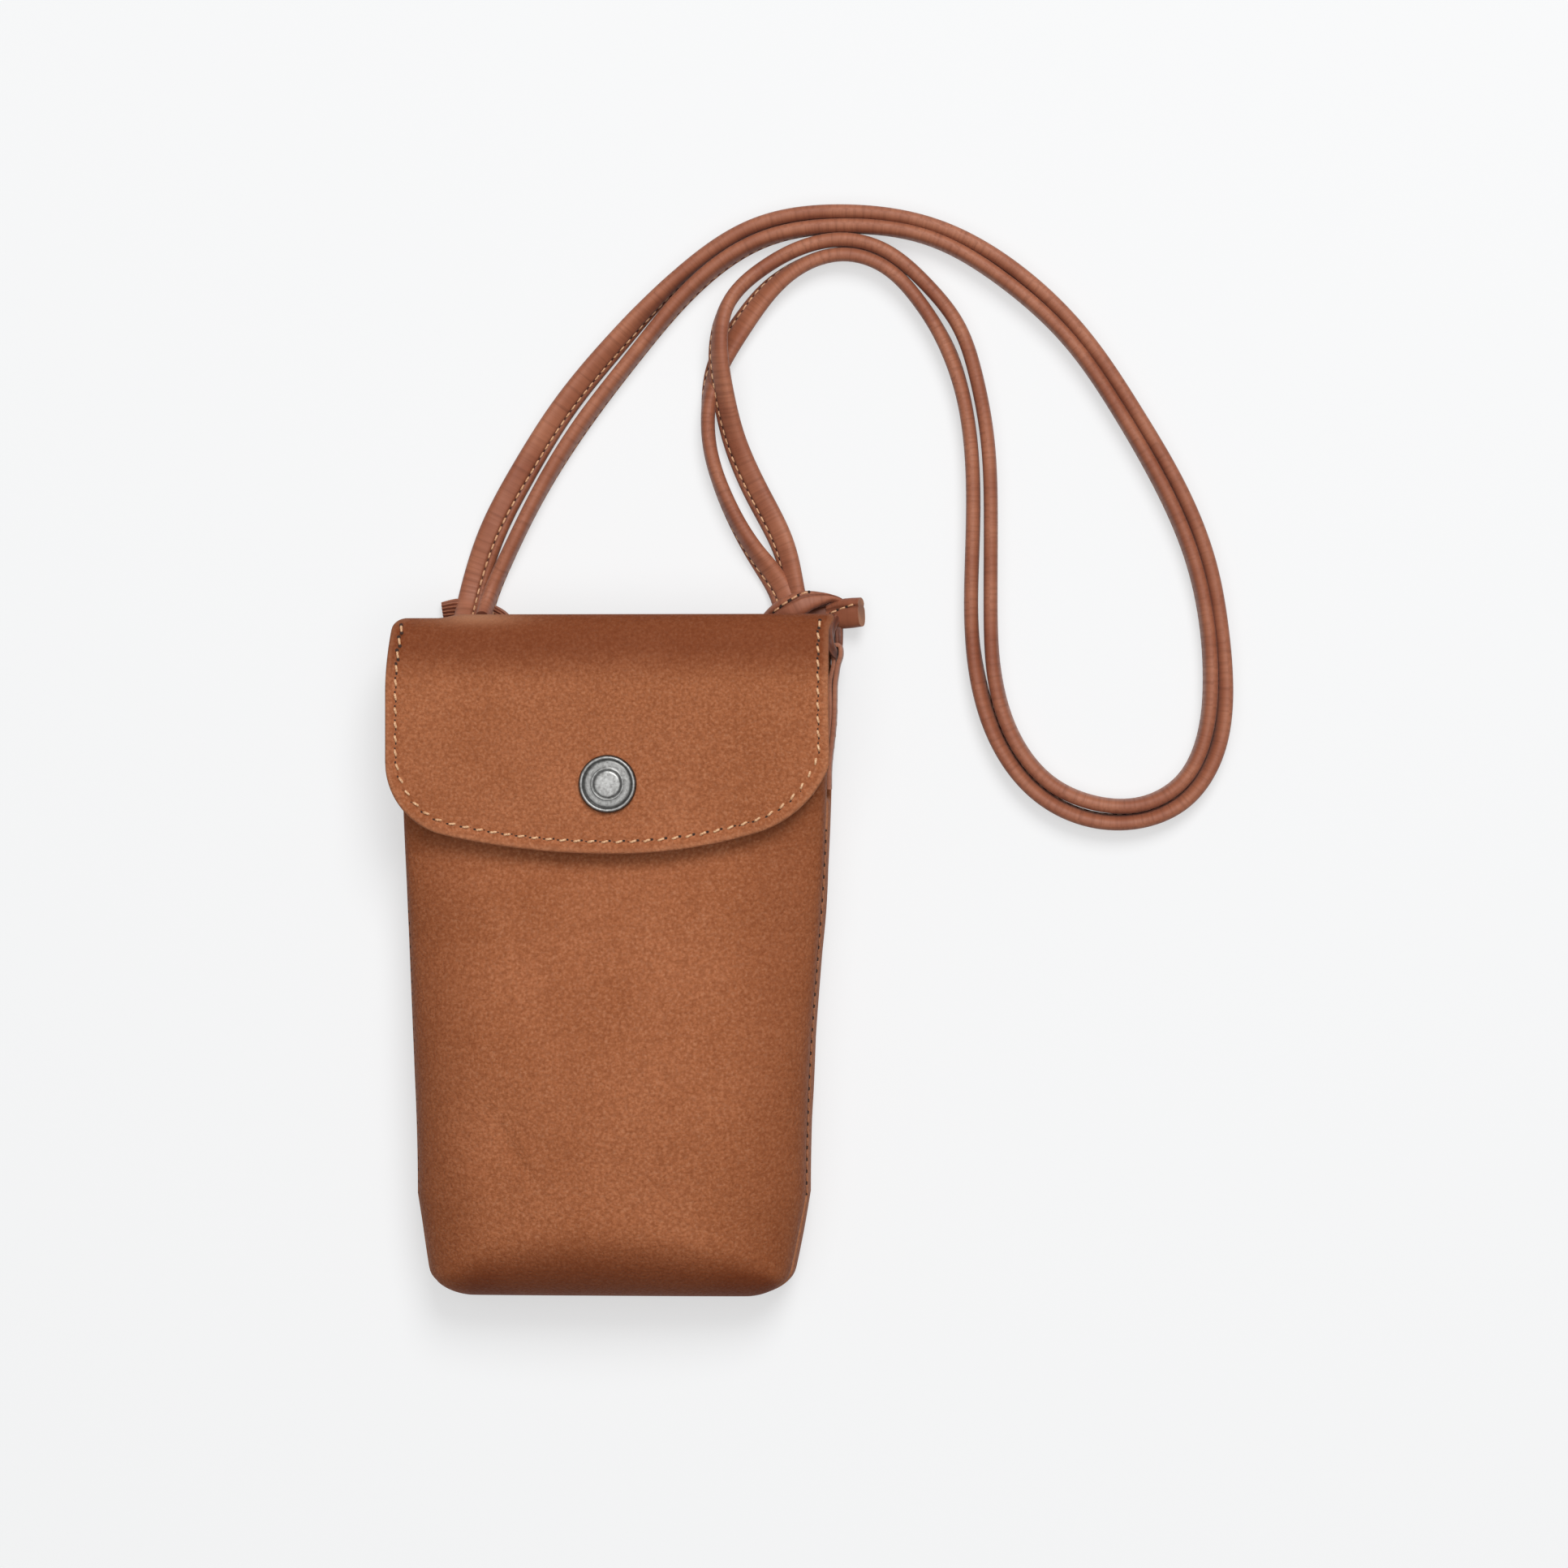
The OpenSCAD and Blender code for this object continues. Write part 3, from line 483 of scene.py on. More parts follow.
def add_stitches(name, rows, pitch, length, thick, finish, body, stands_for=(), slant=0.0, rise=0.16):
    """One piece of all the stitches along several rows of (path, outward direction). Each is a bead of
    thread that bows out of the surface: at u from -1 to 1 along it, it stands rise (1 - u^4) above its ends
    and is (1 - 0.5 u^6) as thick. A flat dark lens of painted shade marks each of its holes. slant turns each
    stitch off its line."""
    centre, up, ahead = [], [], []
    for path, out in rows:
        runs = run_lengths(path)
        count = int(runs[-1] // pitch)
        at = runs[-1] * (np.arange(count) + 0.5) / count
        here, outward, front, back = [
            np.stack([np.interp(run, runs, values[:, k]) for k in range(3)], -1)
            for run, values in ((at, path), (at, out), (at + length / 2, path), (at - length / 2, path))]
        centre.append(here)
        up.append(unit(outward))
        ahead.append(front - back)
    centre, up, ahead = np.concatenate(centre), np.concatenate(up), np.concatenate(ahead)
    ahead = unit(ahead - up * np.einsum("ij,ij->i", ahead, up)[:, None])
    aside = np.cross(up, ahead)
    ahead, aside = (ahead * math.cos(slant) + aside * math.sin(slant),
                    aside * math.cos(slant) - ahead * math.sin(slant))
    angle = np.linspace(0, 2 * math.pi, 6, endpoint=False)
    u = np.array([-1.0, -0.7, 0.0, 0.7, 1.0])[:, None]
    radius = thick / 2 * (1 - 0.5 * u ** 6)
    bead = np.stack([u * length / 2 + 0 * angle, radius * np.cos(angle),
                     rise * (1 - u ** 4) + radius * np.sin(angle)], -1).reshape(-1, 3)
    lens = np.concatenate([0.8 * thick * np.stack([np.cos(angle), np.sin(angle), 0 * angle], -1),
                           [[0, 0, 0.07], [0, 0, -0.07]]])
    shape = np.concatenate([bead] + [lens + [end * (length / 2 + 0.3), 0, 0] for end in (-1, 1)])
    ends = [[0, 3, 2, 1], [0, 5, 4, 3], [24, 25, 26, 27], [24, 27, 28, 29]]
    quads = np.concatenate([grid_faces(5, 6, True), ends])
    ring = len(bead) + np.arange(6)
    following = np.roll(ring, -1)
    sides = np.concatenate([np.stack([ring, following, 0 * ring + len(bead) + 6], -1),
                            np.stack([following, ring, 0 * ring + len(bead) + 7], -1)])
    sides = np.concatenate([sides, sides + len(lens)])
    points = centre[:, None] + shape @ np.stack([ahead, aside, up], 1)
    each = len(shape) * np.arange(len(centre))[:, None, None]
    quads, sides = (quads + each).reshape(-1, 4), (sides + each).reshape(-1, 3)
    return add_piece(name, points.reshape(-1, 3), quads, [finish, hole], body, stands_for,
                     sides.tolist(), finish_of=np.repeat([0, 1], [len(quads), len(sides)]))


# Strap

# Routes of the two strands, as in the part: x, y and lift off the surface. Then the roll, 180 on edge and 90
# lying flat, and how far the limp lace strays to the right of its way there
INNER_ROUTE = [
    [48, 93, 0, 134, -2.2], [43, 105.5, 0, 130, 0], [36.5, 119.5, 0, 118, -0.25], [30.5, 134, 0.5, 130, -0.5],
    [27.8, 146.5, 3.5, 138, -0.7], [26.6, 158, 5, 150, -0.6], [28.3, 170, 3.2, 174, 0.3],
    [36, 180.5, 0.6, 180, 1.9], [47.5, 185.2, 0, 180, 0.5], [59, 186.3, 0, 180, -0.35],
    [69.5, 183.5, 0, 180, -0.2], [80, 175.3, 0, 180, 0.1], [88.5, 164, 0, 180, -0.15], [94, 150.5, 0, 180, 0.6],
    [96.8, 134, 0, 180, 0.45], [97.3, 113, 0, 180, 0.1], [97.4, 91, 0, 180, 0.25], [99.5, 70.5, 0, 172, 1],
    [105, 55.5, 0, 172, 1.35], [114, 44.7, 0, 172, 1.15], [125, 39, 0, 172, 0.2], [136.5, 38.8, 0, 172, 0.15],
    [146.5, 45, 0, 172, 0.7], [152.7, 56.5, 0, 172, 0.3], [155, 71, 0, 172, -0.45], [153.5, 87, 0, 172, -0.05],
    [148.5, 103.5, 0, 172, 1.1], [140.5, 122, 0, 172, 1.15], [130, 141, 0, 176, 0.8], [117, 159, 0, 176, 1.2],
    [100.5, 176, 0, 176, -0.1], [81, 186.5, 0, 176, 0.5], [59, 190.2, 0, 176, 0.05],
    [37.5, 186.7, 0, 170, 0.15], [18.5, 175.5, 0, 165, -1.1], [3, 159, 0, 172, -1.95],
    [-10.5, 140, 0, 168, -1], [-22, 121.5, 0, 174, -0.8], [-30, 104, 0, 176, -0.1], [-34, 91, 0, 170, 1.2],
]
OUTER_ROUTE = [
    [40.6, 93, 0, 112, 2], [36, 104.5, 0, 145, -0.4], [28.5, 117.5, 0, 166, -0.2], [24, 132, 0, 176, -0.45],
    [22.8, 144, 0, 168, 0.4], [25.2, 155, 0, 132, 0.8], [31.5, 163.5, 0, 129, -0.3], [39.5, 172, 0, 142, -1.45],
    [47.5, 179.3, 0, 165, -0.5], [59, 182.5, 0, 170, -0.4], [68.5, 179.5, 0, 170, -0.6],
    [77.5, 170.5, 0, 178, -0.7], [85, 158, 0, 170, -0.8], [90, 144, 0, 176, -0.3], [92.5, 126, 0, 176, 0.05],
    [92.8, 104, 0, 176, 0.45], [92.7, 84, 0, 176, 0.45], [95.3, 66.5, 0, 164, 0.3], [101.3, 51.5, 0, 164, 0.2],
    [110.5, 40.8, 0, 164, 0.05], [122, 34.5, 0, 164, -0.55], [135.5, 33.8, 0, 164, -0.55],
    [147.5, 39.5, 0, 164, 0], [155.7, 51, 0, 164, -0.2], [159, 66.5, 0, 164, -0.8], [158.3, 83, 0, 174, -0.8],
    [154, 101, 0, 174, 0.25], [145.8, 121, 0, 174, 0.65], [135, 140.5, 0, 174, 0.3],
    [121.5, 160, 0, 174, 0.55], [104, 178.3, 0, 174, -0.25], [83, 190.2, 0, 174, -0.35],
    [59, 194.2, 0, 174, -0.35], [35.5, 190.5, 0, 174, -0.05], [15, 178.5, 0, 170, -1.25],
    [-2, 161, 0, 139, -1.35], [-15.5, 143.5, 0, 128, -0.65], [-27.5, 125.5, 0, 113, -1.2],
    [-36, 107.5, 0, 96, -0.8], [-41, 91, 0, 92, -1],
]
# Where the strands run on, under the knot's band and over the hitch
INNER_ENDS = [46.5, 88.6, 0.4, 122], [-35.8, 86.8, 3.4, 168]
OUTER_ENDS = [44, 88.6, 2.2, 108], [-40.4, 86.8, 3.8, 92]
LEFT_NECK_ROUTE = [
    [-44, 86.4, 4.6], [-48, 85.2, 4.6], [-52, 84, 5.6], [-54.8, 82.8, 9], [-56, 82, 13.4], [-56.4, 80.2, 15.6],
    [-56.8, 78.6, 14.6], [-57.2, 78, 11], [-57.2, 78, 6], [-56.5, 79, 3], [-55, 81, 2], [-52, 83.4, 1.9],
    [-44, 86, 1.8],
]
RIGHT_NECK_ROUTE = [
    [57, 88.4, 2.6], [57.1, 85.6, 3], [57.2, 82.6, 3.4], [57.2, 79.8, 4.4], [57.2, 78.4, 6.6], [57.2, 78.1, 10],
    [56.6, 78.4, 13.8], [55.6, 79.6, 15.4], [55.1, 81.4, 15], [55, 83, 12.6], [55.2, 84.6, 9], [55.8, 86.2, 6],
    [56.8, 87.6, 4.4],
]

# The stitch line lies off the middle of the lace, in a channel that it pulls into both faces
CHANNEL_W = 1.4
CHANNEL_DEPTH = 0.42
CHANNEL_HALF = 0.42


def lace_half(w):
    """Half thickness of the lace at w across it: a flat oval with a channel along the stitch line."""
    full = LACE_T / 2 * (1 - np.abs(w / (LACE_W / 2)) ** 3.4) ** (1 / 2.1)
    return full - CHANNEL_DEPTH * np.exp(-(((w - CHANNEL_W) / CHANNEL_HALF) ** 2))


def lace_section():
    """Points round the lace, closest together at its turned edges and in its channel."""
    half = LACE_W / 2
    w = np.array([-0.985, -0.93, -0.84, -0.7, -0.5, -0.27, -0.04, 0.15, 0.27, 0.34, 0.39, 0.44, 0.51, 0.6, 0.7,
                  0.8, 0.88, 0.95, 0.987]) * half
    upper = np.stack([w, lace_half(w)], -1)
    lower = np.stack([w[::-1], -lace_half(w[::-1])], -1)
    return np.concatenate([[[-half, 0.0]], upper, [[half, 0.0]], lower])


LACE = lace_section()


def channel_shade(depth):
    """How much painted shade darkens the stitch channel at each point round the lace: depth exp(-((w -
    channel) / 1.3 half)^2)."""
    return depth * np.exp(-(((LACE[:, 0] - CHANNEL_W) / (1.3 * CHANNEL_HALF)) ** 2))


def lace_lay(route, ends):
    """Middle line and frame of a strand that lies on the surface, each knot moved to the right of its way by
    its own shift. Its wide side points along cos(roll) above - sin(roll) right, and its middle is as high as
    the section needs to stay off the surface."""
    knots = np.array(route, float)
    ahead = unit(np.gradient(knots[:, :2], axis=0))
    knots[:, :2] += knots[:, 4:] * np.stack([ahead[:, 1], -ahead[:, 0]], -1)
    path = spline(np.concatenate([[ends[0]], knots[:, :4], [ends[1]]]), 1.5)
    roll = np.radians(path[:, 3])
    reach = LACE[None, :, 0] * np.cos(roll)[:, None] + LACE[None, :, 1] * np.sin(roll)[:, None]
    middle = np.stack([path[:, 0], path[:, 1], path[:, 2] + reach.max(1)], -1)
    ahead = unit(np.gradient(middle, axis=0))
    right = unit(np.cross(ahead, UP))
    above = np.cross(right, ahead)
    cos, sin = np.cos(roll)[:, None], np.sin(roll)[:, None]
    return middle, cos * above - sin * right, cos * right + sin * above


def add_strand(name, route, ends, node_name):
    """A strand of the lace with its stitches on both faces, from the knot to the hitch."""
    middle, wide, thick = lace_lay(route, ends)
    points, quads, caps, uv = sweep(middle, wide, thick, LACE)
    # Painted shade darkens the strand's stitch channel
    strand = add_piece(name, points, quads, [lace_calf], "pouch", [node_name], caps, uv,
                       {"painted_shade": np.tile(channel_shade(0.75), len(middle))})
    bed = float(lace_half(np.array(CHANNEL_W)))
    rows = [(middle + wide * CHANNEL_W + side * thick * bed, side * thick) for side in (1, -1)]
    sewing = add_stitches(name + "_stitches", rows, 2.5, 1.7, 0.5, lace_thread, "pouch")


add_strand("inner_strand_lace", INNER_ROUTE, INNER_ENDS, "inner_strand")
add_strand("outer_strand_lace", OUTER_ROUTE, OUTER_ENDS, "outer_strand")


def carried(middle, side):
    """A side direction carried along a path without twisting, square to the path at each point."""
    ahead = unit(np.gradient(middle, axis=0))
    sides = []
    for k in range(len(middle)):
        side = unit(side - ahead[k] * (side @ ahead[k]))
        sides.append(side)
    return ahead, np.array(sides)


def add_neck(name, route, first, last, through, node_name):
    """The lace drawn in to pass through a tab's eye: a narrow sweep, pressed flat in the eye, with folds
    that wind along it as 0.9 + 0.1 cos(5 a + 0.22 s) of its radius at an angle a and a run s."""
    middle = spline(route, 0.7, first, last)
    ahead, side = carried(middle, np.array(through, float))
    wide = np.cross(side, ahead)
    angle = np.linspace(0, 2 * math.pi, 36, endpoint=False)
    runs = run_lengths(middle)
    fold = 0.9 + 0.1 * np.cos(5 * angle[None] + runs[:, None] * 0.22)
    section = np.stack([np.cos(angle) * NECK_W / 2, np.sin(angle) * NECK_T / 2], -1)
    in_eye = np.exp(-(((middle[:, 2] - TAB_Z) / 5) ** 4)) * smooth((80.6 - middle[:, 1]) / 1.6)
    points, quads, caps, uv = sweep(middle, wide, side, section, 1 + 0.2 * in_eye, 1 - 0.76 * in_eye)
    points = middle[:, None] + (points.reshape(len(middle), -1, 3) - middle[:, None]) * fold[..., None]
    # Painted shade darkens the neck, more in its folds and in the tab's eye
    add_piece(name, points.reshape(-1, 3), quads, [lace_calf], "pouch", [node_name], caps, uv,
              {"painted_shade": 0.5 + (1 - fold) * 3 + 0.3 * in_eye[:, None]})


add_neck("left_neck_lace", LEFT_NECK_ROUTE, (-1, 0, 0), (1, 0, 0), (0, 0, 1), "left_neck")
add_neck("right_neck_lace", RIGHT_NECK_ROUTE, (0, -1, 0), (0.5, 0.8, 0), (1, 0, 0), "right_neck")


def shares(values, count):
    """Values spread evenly along a run of count points."""
    values = np.atleast_1d(values)
    return np.interp(np.linspace(0, 1, count), np.linspace(0, 1, len(values)), values)


def lace_run(name, knots, face, grow_w=1.0, grow_t=1.0, channel=(CHANNEL_W,), stands_for=(), sewn=(), cut=False,
             shade=0.0):
    """A short run of the lace through knots, with its stitched face turned the way that face gives at each
    knot. sewn is the stretch, in shares of the run, that shows its stitches, channel is how far they lie off
    the middle along it, cut shows the pale end of the lace at its first knot, and shade darkens the run."""
    path = spline(np.hstack([knots, face]), 0.5)
    middle = path[:, :3]
    count = len(middle)
    ahead = unit(np.gradient(middle, axis=0))
    thick = unit(path[:, 3:] - ahead * np.einsum("ij,ij->i", path[:, 3:], ahead)[:, None])
    wide = np.cross(ahead, thick)
    w, t = shares(grow_w, count), shares(grow_t, count)
    points, quads, caps, uv = sweep(middle, wide, thick, LACE, w, t)
    kinds = np.concatenate([np.zeros(len(quads), int), [1 if cut else 0, 0]])
    add_piece(name, points, quads, [lace_calf, lace_edge], "pouch", stands_for, caps, uv,
              {"painted_shade": np.tile(channel_shade(0.6) + shade, count)}, kinds)
    if sewn:
        sewn_run = slice(int(sewn[0] * count), int(sewn[1] * count))
        off = shares(channel, count)
        bed = lace_half(np.minimum(off, 0.9 * LACE_W / 2))
        line = middle + wide * (off * w)[:, None] + thick * (bed * t)[:, None]
        rows = [(line[sewn_run], thick[sewn_run])]
        add_stitches(name + "_stitches", rows, 2.6, 1.8, 0.55, lace_thread, "pouch")


def add_hitch():
    """The hitch at the left tab: the lace drawn round the ends of the strands in a bundle of soft pleats
    that run across them. At a share v across the bundle it is H (1 - |v|^3)^(1/2) high, and its pleats add
    0.35 cos(7.4 pi v + 0.22 x)."""
    middle = spline([[-47.2, 88.7, 1.5], [-44, 89.1, 1.7], [-39, 88.9, 1.8], [-35, 88.3, 1.8], [-32, 87.2, 1.7],
                     [-30, 85.4, 1.6]], 0.5)
    across = np.linspace(-1, 1, 65)
    half_y = shares([3.2, 3.7, 3.7, 3.5, 2.8, 2.2], len(middle))[:, None]
    half_z = shares([1.2, 1.4, 1.5, 1.5, 1.4, 1.3], len(middle))[:, None]
    dome = np.sqrt(np.maximum(1 - np.abs(across) ** 3, 0))[None]
    pleat = 0.35 * np.cos(7.4 * math.pi * across[None] + 0.22 * middle[:, :1]) * dome
    ahead = unit(np.gradient(middle, axis=0))
    aside = unit(np.cross(UP, ahead))
    top = middle[:, None] + aside[:, None] * (across[None] * half_y)[..., None] \
        + UP * (dome * half_z + pleat)[..., None]
    low = middle[:, None] - aside[:, None] * (across[None, 1:-1] * half_y)[..., None] \
        - UP * (dome[:, 1:-1] * half_z)[..., None]
    rings = np.concatenate([top, low], 1)
    sides = rings.shape[1]
    caps = [list(range(sides)), list(range(len(middle) * sides - sides, len(middle) * sides))[::-1]]
    along = np.broadcast_to(run_lengths(middle)[:, None] * MM, rings.shape[:2])
    around = np.broadcast_to(np.arange(sides) / sides, rings.shape[:2])
    # The hitch is a little darker overall, and painted shade darkens the grooves between its pleats
    pleat_shade = np.concatenate([np.clip(-pleat, 0, 1) * 2.4, 0 * low[..., 0]], 1)
    add_piece("left_hitch_lace", rings.reshape(-1, 3), grid_faces(len(middle), sides, True), [lace_calf],
              "pouch", ["left_hitch"], caps, np.stack([around, along], -1).reshape(-1, 2),
              {"painted_shade": 0.15 + pleat_shade})


add_hitch()

# The knot at the right tab: a band that slants up over the strands and dives between them and the tail, the
# low leg that it turns round, and the tail, which rises a little and shows its cut end
lace_run("right_knot_band",
         [[58.8, 91.2, 2.8], [55.6, 92.5, 4.2], [52.1, 92.35, 5.2], [48.85, 91.7, 5.9], [45.6, 90.2, 6.1],
          [42.0, 88.0, 4.6], [39.4, 85.6, 2]],
         [[0.3, 0.5, 0.8], [0.15, 0.4, 0.9], [0.1, 0.3, 1], [0.1, 0.2, 1], [0, 0.05, 1], [-0.3, 0, 1],
          [-0.7, -0.2, 1]],
         grow_w=[0.15, 0.24, 0.58, 0.88, 1, 1, 1], grow_t=[0.6, 0.7, 0.85, 1, 1, 1, 0.9],
         channel=[3.2, 3.0, 2.3, 1.6, 1.4], stands_for=["right_knot"], sewn=(0.4, 0.84))
# Painted shade darkens the low leg, which lies under the band
lace_run("right_knot_core",
         [[58.2, 89.6, 2.1], [54, 89.3, 1.8], [49, 88.6, 1.7], [44, 90, 1.7]],
         [[0, 0.2, 1], [0, 0.1, 1], [0, 0, 1], [0, 0, 1]], grow_w=0.85, grow_t=0.8, shade=0.6)
lace_run("right_knot_tail",
         [[63.4, 88.9, 6.6], [60.6, 88.7, 5.1], [57.6, 88.5, 3.4], [54.6, 88.3, 2.2]],
         [[-0.52, 0, 1], [-0.5, 0, 1], [-0.3, 0, 1], [-0.1, 0, 1]],
         grow_w=[1.06, 1.1, 1.1, 1.06, 0.8], channel=[2.2, 1.5, 0.8, 0], sewn=(0.1, 0.95), cut=True)


# Body


def side_w(y):
    """Half width over the gussets: a smooth widening up the pouch and a smooth step in at the mouth."""
    return LOW_W / 2 + (POUCH_W - LOW_W) / 2 * smooth((y - CORNER_Y) / (WIDE_Y - CORNER_Y)) \
        - PINCH_IN * smooth((y - PINCH_Y) / PINCH_RUN)


def lean(y):
    """How far the soft body leans to the left, off its middle line: three smooth steps on the way down."""
    return -0.55 * smooth((66 - y) / 20) - 0.75 * smooth((24 - y) / 56) - 0.5 * smooth((-62 - y) / 26)


def half_w(y):
    """Half width with the bottom corners: below CORNER_Y the sides draw in straight, and a quarter of an
    ellipse of 11.5 by 7 takes them round to the base."""
    round_off = np.clip((-82.5 - y) / 7, 0, 1)
    corner = LOW_W / 2 - 4.4 * (CORNER_Y - y) / 25 - 11.5 * (1 - np.sqrt(1 - round_off ** 2))
    return np.where(y > CORNER_Y, side_w(y), corner)


def tab_lean(y):
    """How far the tabs lean in below their eyes: two smooth steps."""
    return 1.2 * smooth((78 - y) / 9) + 0.9 * smooth((62 - y) / 16)


def pressed(reach, y, z):
    """How far the soft side gives way under a tab: what it would reach beyond the tab's inner face, faded
    out by smooth steps round the tab."""
    over = np.maximum(reach - (TAB_X - TAB_LEG - TAB_T / 2 - 0.1 - tab_lean(y)), 0)
    off = np.abs(z - TAB_Z) - TAB_W / 2
    return over * smooth((y - TAB_Y + 4) / 4) * smooth((2.0 - off) / 1.8)


def back_z(y):
    """Height of the back's outer face: a smooth rise towards the mouth."""
    return BACK_RISE * smooth((y - RISE_Y) / (FOLD_Y - RISE_Y))


FRONT_Z = 26.0
BELLY_Z = 34.0
SWELL_Y = 22.0
SWELL_RUN = 60.0


def front_z(y):
    """Depth of the front along its middle: flat under the flap, a dip at the flap's lip, a smooth rise below
    it to the belly, and a slight fall towards the base."""
    swell = (BELLY_Z - FRONT_Z) * smooth((SWELL_Y - y) / SWELL_RUN) - 1.0 * smooth((-42 - y) / 30)
    return FRONT_Z + swell - 2.4 * np.exp(-(((y - 27) / 9) ** 2))


def crown(y):
    """Power of the front's section: squarer under the flap and rounder at the belly and base."""
    return 4.6 - 2.2 * smooth((42 - y) / 40) - 0.3 * smooth((-50 - y) / 30)


def roll_run(q):
    """How far above the base the front starts to roll under, at a share q of its half width: deep in the
    middle and nothing at the corners, which leaves a lens between the roll and the base."""
    return 3.0 + 18.0 * np.maximum(0, 1 - np.abs(q) ** 2.2) ** 0.8


def front_relief(x, y):
    """Hollows and creases of the soft front: rounded hollows, and creases that run towards the lower
    right."""
    free = smooth((18 - y) / 14)
    hollow = -1.3 * hill(x, y, -29, -47, 8, 11) + 0.5 * hill(x, y, -37, -60, 7, 10) \
        - 0.5 * hill(x, y, 33, -20, 16, 30)
    crease = 0.0
    for x0, y0, x1, y1, depth, half in (
        (-33, -38, -20, -58, 0.35, 1.5), (-29, -48, -16, -61, 0.3, 1.3), (-36, -52, -26, -66, 0.25, 1.4),
        (-24, -44, -13, -54, 0.18, 1.6), (12, -70, 30, -74, 0.2, 1.8), (-26, -70, -10, -72, 0.18, 1.8),
    ):
        run = np.hypot(x1 - x0, y1 - y0)
        along = ((x - x0) * (x1 - x0) + (y - y0) * (y1 - y0)) / run ** 2
        off = ((x - x0) * (y1 - y0) - (y - y0) * (x1 - x0)) / run + 1.2 * np.sin(along * 4)
        crease = crease - depth * np.exp(-((off / half) ** 2)) * smooth(along * 3) * smooth((1 - along) * 3)
    waves = 0.16 * np.sin(x / 9 + y / 17) + 0.14 * np.sin(y / 11 - x / 23 + 1.3)
    return free * (hollow + crease + waves)


def front_shell(inset, top, foot, rows=110, cols=141, relief=True, low_inset=0.0):
    """The front, or a layer inset under it: at a share q across and y up the pouch, x is lean plus q times
    the half width and z is foot + (front - foot) (1 - |q|^n)^(1/n). Below its start, which depends on q, the
    roll takes y and z round a quarter of an ellipse to the base, which low_inset draws in."""
    angle = np.linspace(-1, 1, cols) * math.pi / 2
    q = (np.sign(angle) * np.abs(np.sin(angle)) ** 0.86)[None]
    start = ROLL_BASE_Y + roll_run(q)
    panel = np.linspace(0, 1, rows)[:, None]
    turn = (np.linspace(0, 1, 36)[1:] * math.pi / 2)[:, None]
    y = np.concatenate([top + (start - top) * panel, start - (roll_run(q) - low_inset) * np.sin(turn)])
    fall = np.concatenate([np.ones_like(panel) + 0 * q, np.cos(turn) + 0 * q])
    flat_y = np.concatenate([top + (start - top) * panel, start - roll_run(q) * np.sin(turn)])
    n = crown(flat_y)
    lift = (np.maximum(0, 1 - np.abs(q) ** n)) ** (1 / n)
    x = q * (half_w(flat_y) - SEAM_STEP - inset)
    z = foot + (front_z(flat_y) - inset - foot) * lift * fall
    if relief:
        z = z + front_relief(x, flat_y) * lift * fall
    return np.stack([x + lean(y), y, z], -1)


def add_slab(name, outer, thickness, finish, stands_for, rim_mark=0.0, painted_shade=None):
    """A slab of leather or cloth in the body, no lower than the base's roll, with a painted highlight that
    makes its rim paler by rim_mark and painted shade that darkens its face where given."""
    points, quads, edge, kept = slab(outer, thickness)
    points[:, 1] = np.maximum(points[:, 1], ROLL_BASE_Y)
    marks = {"rim": edge ** 0.5 * rim_mark}
    if painted_shade is not None:
        marks["painted_shade"] = both_faces(painted_shade, kept)
    add_piece(name, points, quads, [finish], "pouch", [stands_for], marks=marks)


def add_front():
    """The front's leather, the facing of the mouth and the front's lining. Painted shade darkens the leather
    towards its sides and where it rolls under, but not at the left corner."""
    outer = front_shell(0.0, MOUTH_Y - RIM_IN, SEAM_Z + RIM_IN)
    x, y = outer[..., 0], outer[..., 1]
    share = np.abs(x - lean(y)) / (half_w(y) - SEAM_STEP)
    run = roll_run(np.clip(share, 0, 1))
    # Painted shade towards the sides and on the roll under
    painted_shade = 0.3 * smooth((share - 0.5) / 0.4) \
        + 0.7 * smooth((ROLL_BASE_Y + run - y) / run / 0.7) * smooth((x + 48) / 16)
    add_slab("front_leather", outer, LEATHER_T, body_calf, "front_panel", 0.0,
             np.clip(painted_shade, 0, 0.8))
    inset = LEATHER_T + PLY
    facing = front_shell(inset, MOUTH_Y - 0.4, 2.2, 60, 101, False)[:16]
    add_slab("mouth_facing_leather", facing, FACING_T, lining_calf, "mouth_facing")
    lining = front_shell(inset, MOUTH_Y - FACING_H - 0.5, 2.4, 70, 101, False, BASE_Y - ROLL_BASE_Y + inset)
    add_slab("front_lining_cloth", lining, LINING_T, cotton, "lining_front")


add_front()


def outline_rows(top, low, count):
    """Heights from the mouth down to the base, closer together round the bottom corners."""
    a = np.linspace(0, math.pi / 2, 22)
    corner = CORNER_Y - (CORNER_Y - low) * np.sin(a) ** (2 / CORNER_POWER)
    return np.concatenate([np.linspace(top, CORNER_Y, count)[:-1], corner])


def add_back():
    """Back panel and back lining: at a share q across, x is q times the half width, on the rising line of
    the back."""
    q = np.linspace(-1, 1, 61)[None]
    for name, inset, thickness, finish, slot, stands_for in (
        ("back_leather", 0.0, LEATHER_T, body_calf, "body_leather", "back_panel"),
        ("back_lining_cloth", LEATHER_T + PLY, LINING_T, cotton, "lining_fabric", "lining_back"),
    ):
        edge = thickness / 2
        y = outline_rows(FOLD_Y - edge - inset * 0.6, BASE_Y + inset + edge, 50)[:, None]
        z = back_z(y) + inset + thickness + 0 * q
        x = q * (half_w(y) - pressed(half_w(y), y, back_z(y) + inset) - inset - edge)
        add_slab(name, np.stack([x + lean(y), y + 0 * q, z], -1), thickness, finish, stands_for, 0.4)


add_back()


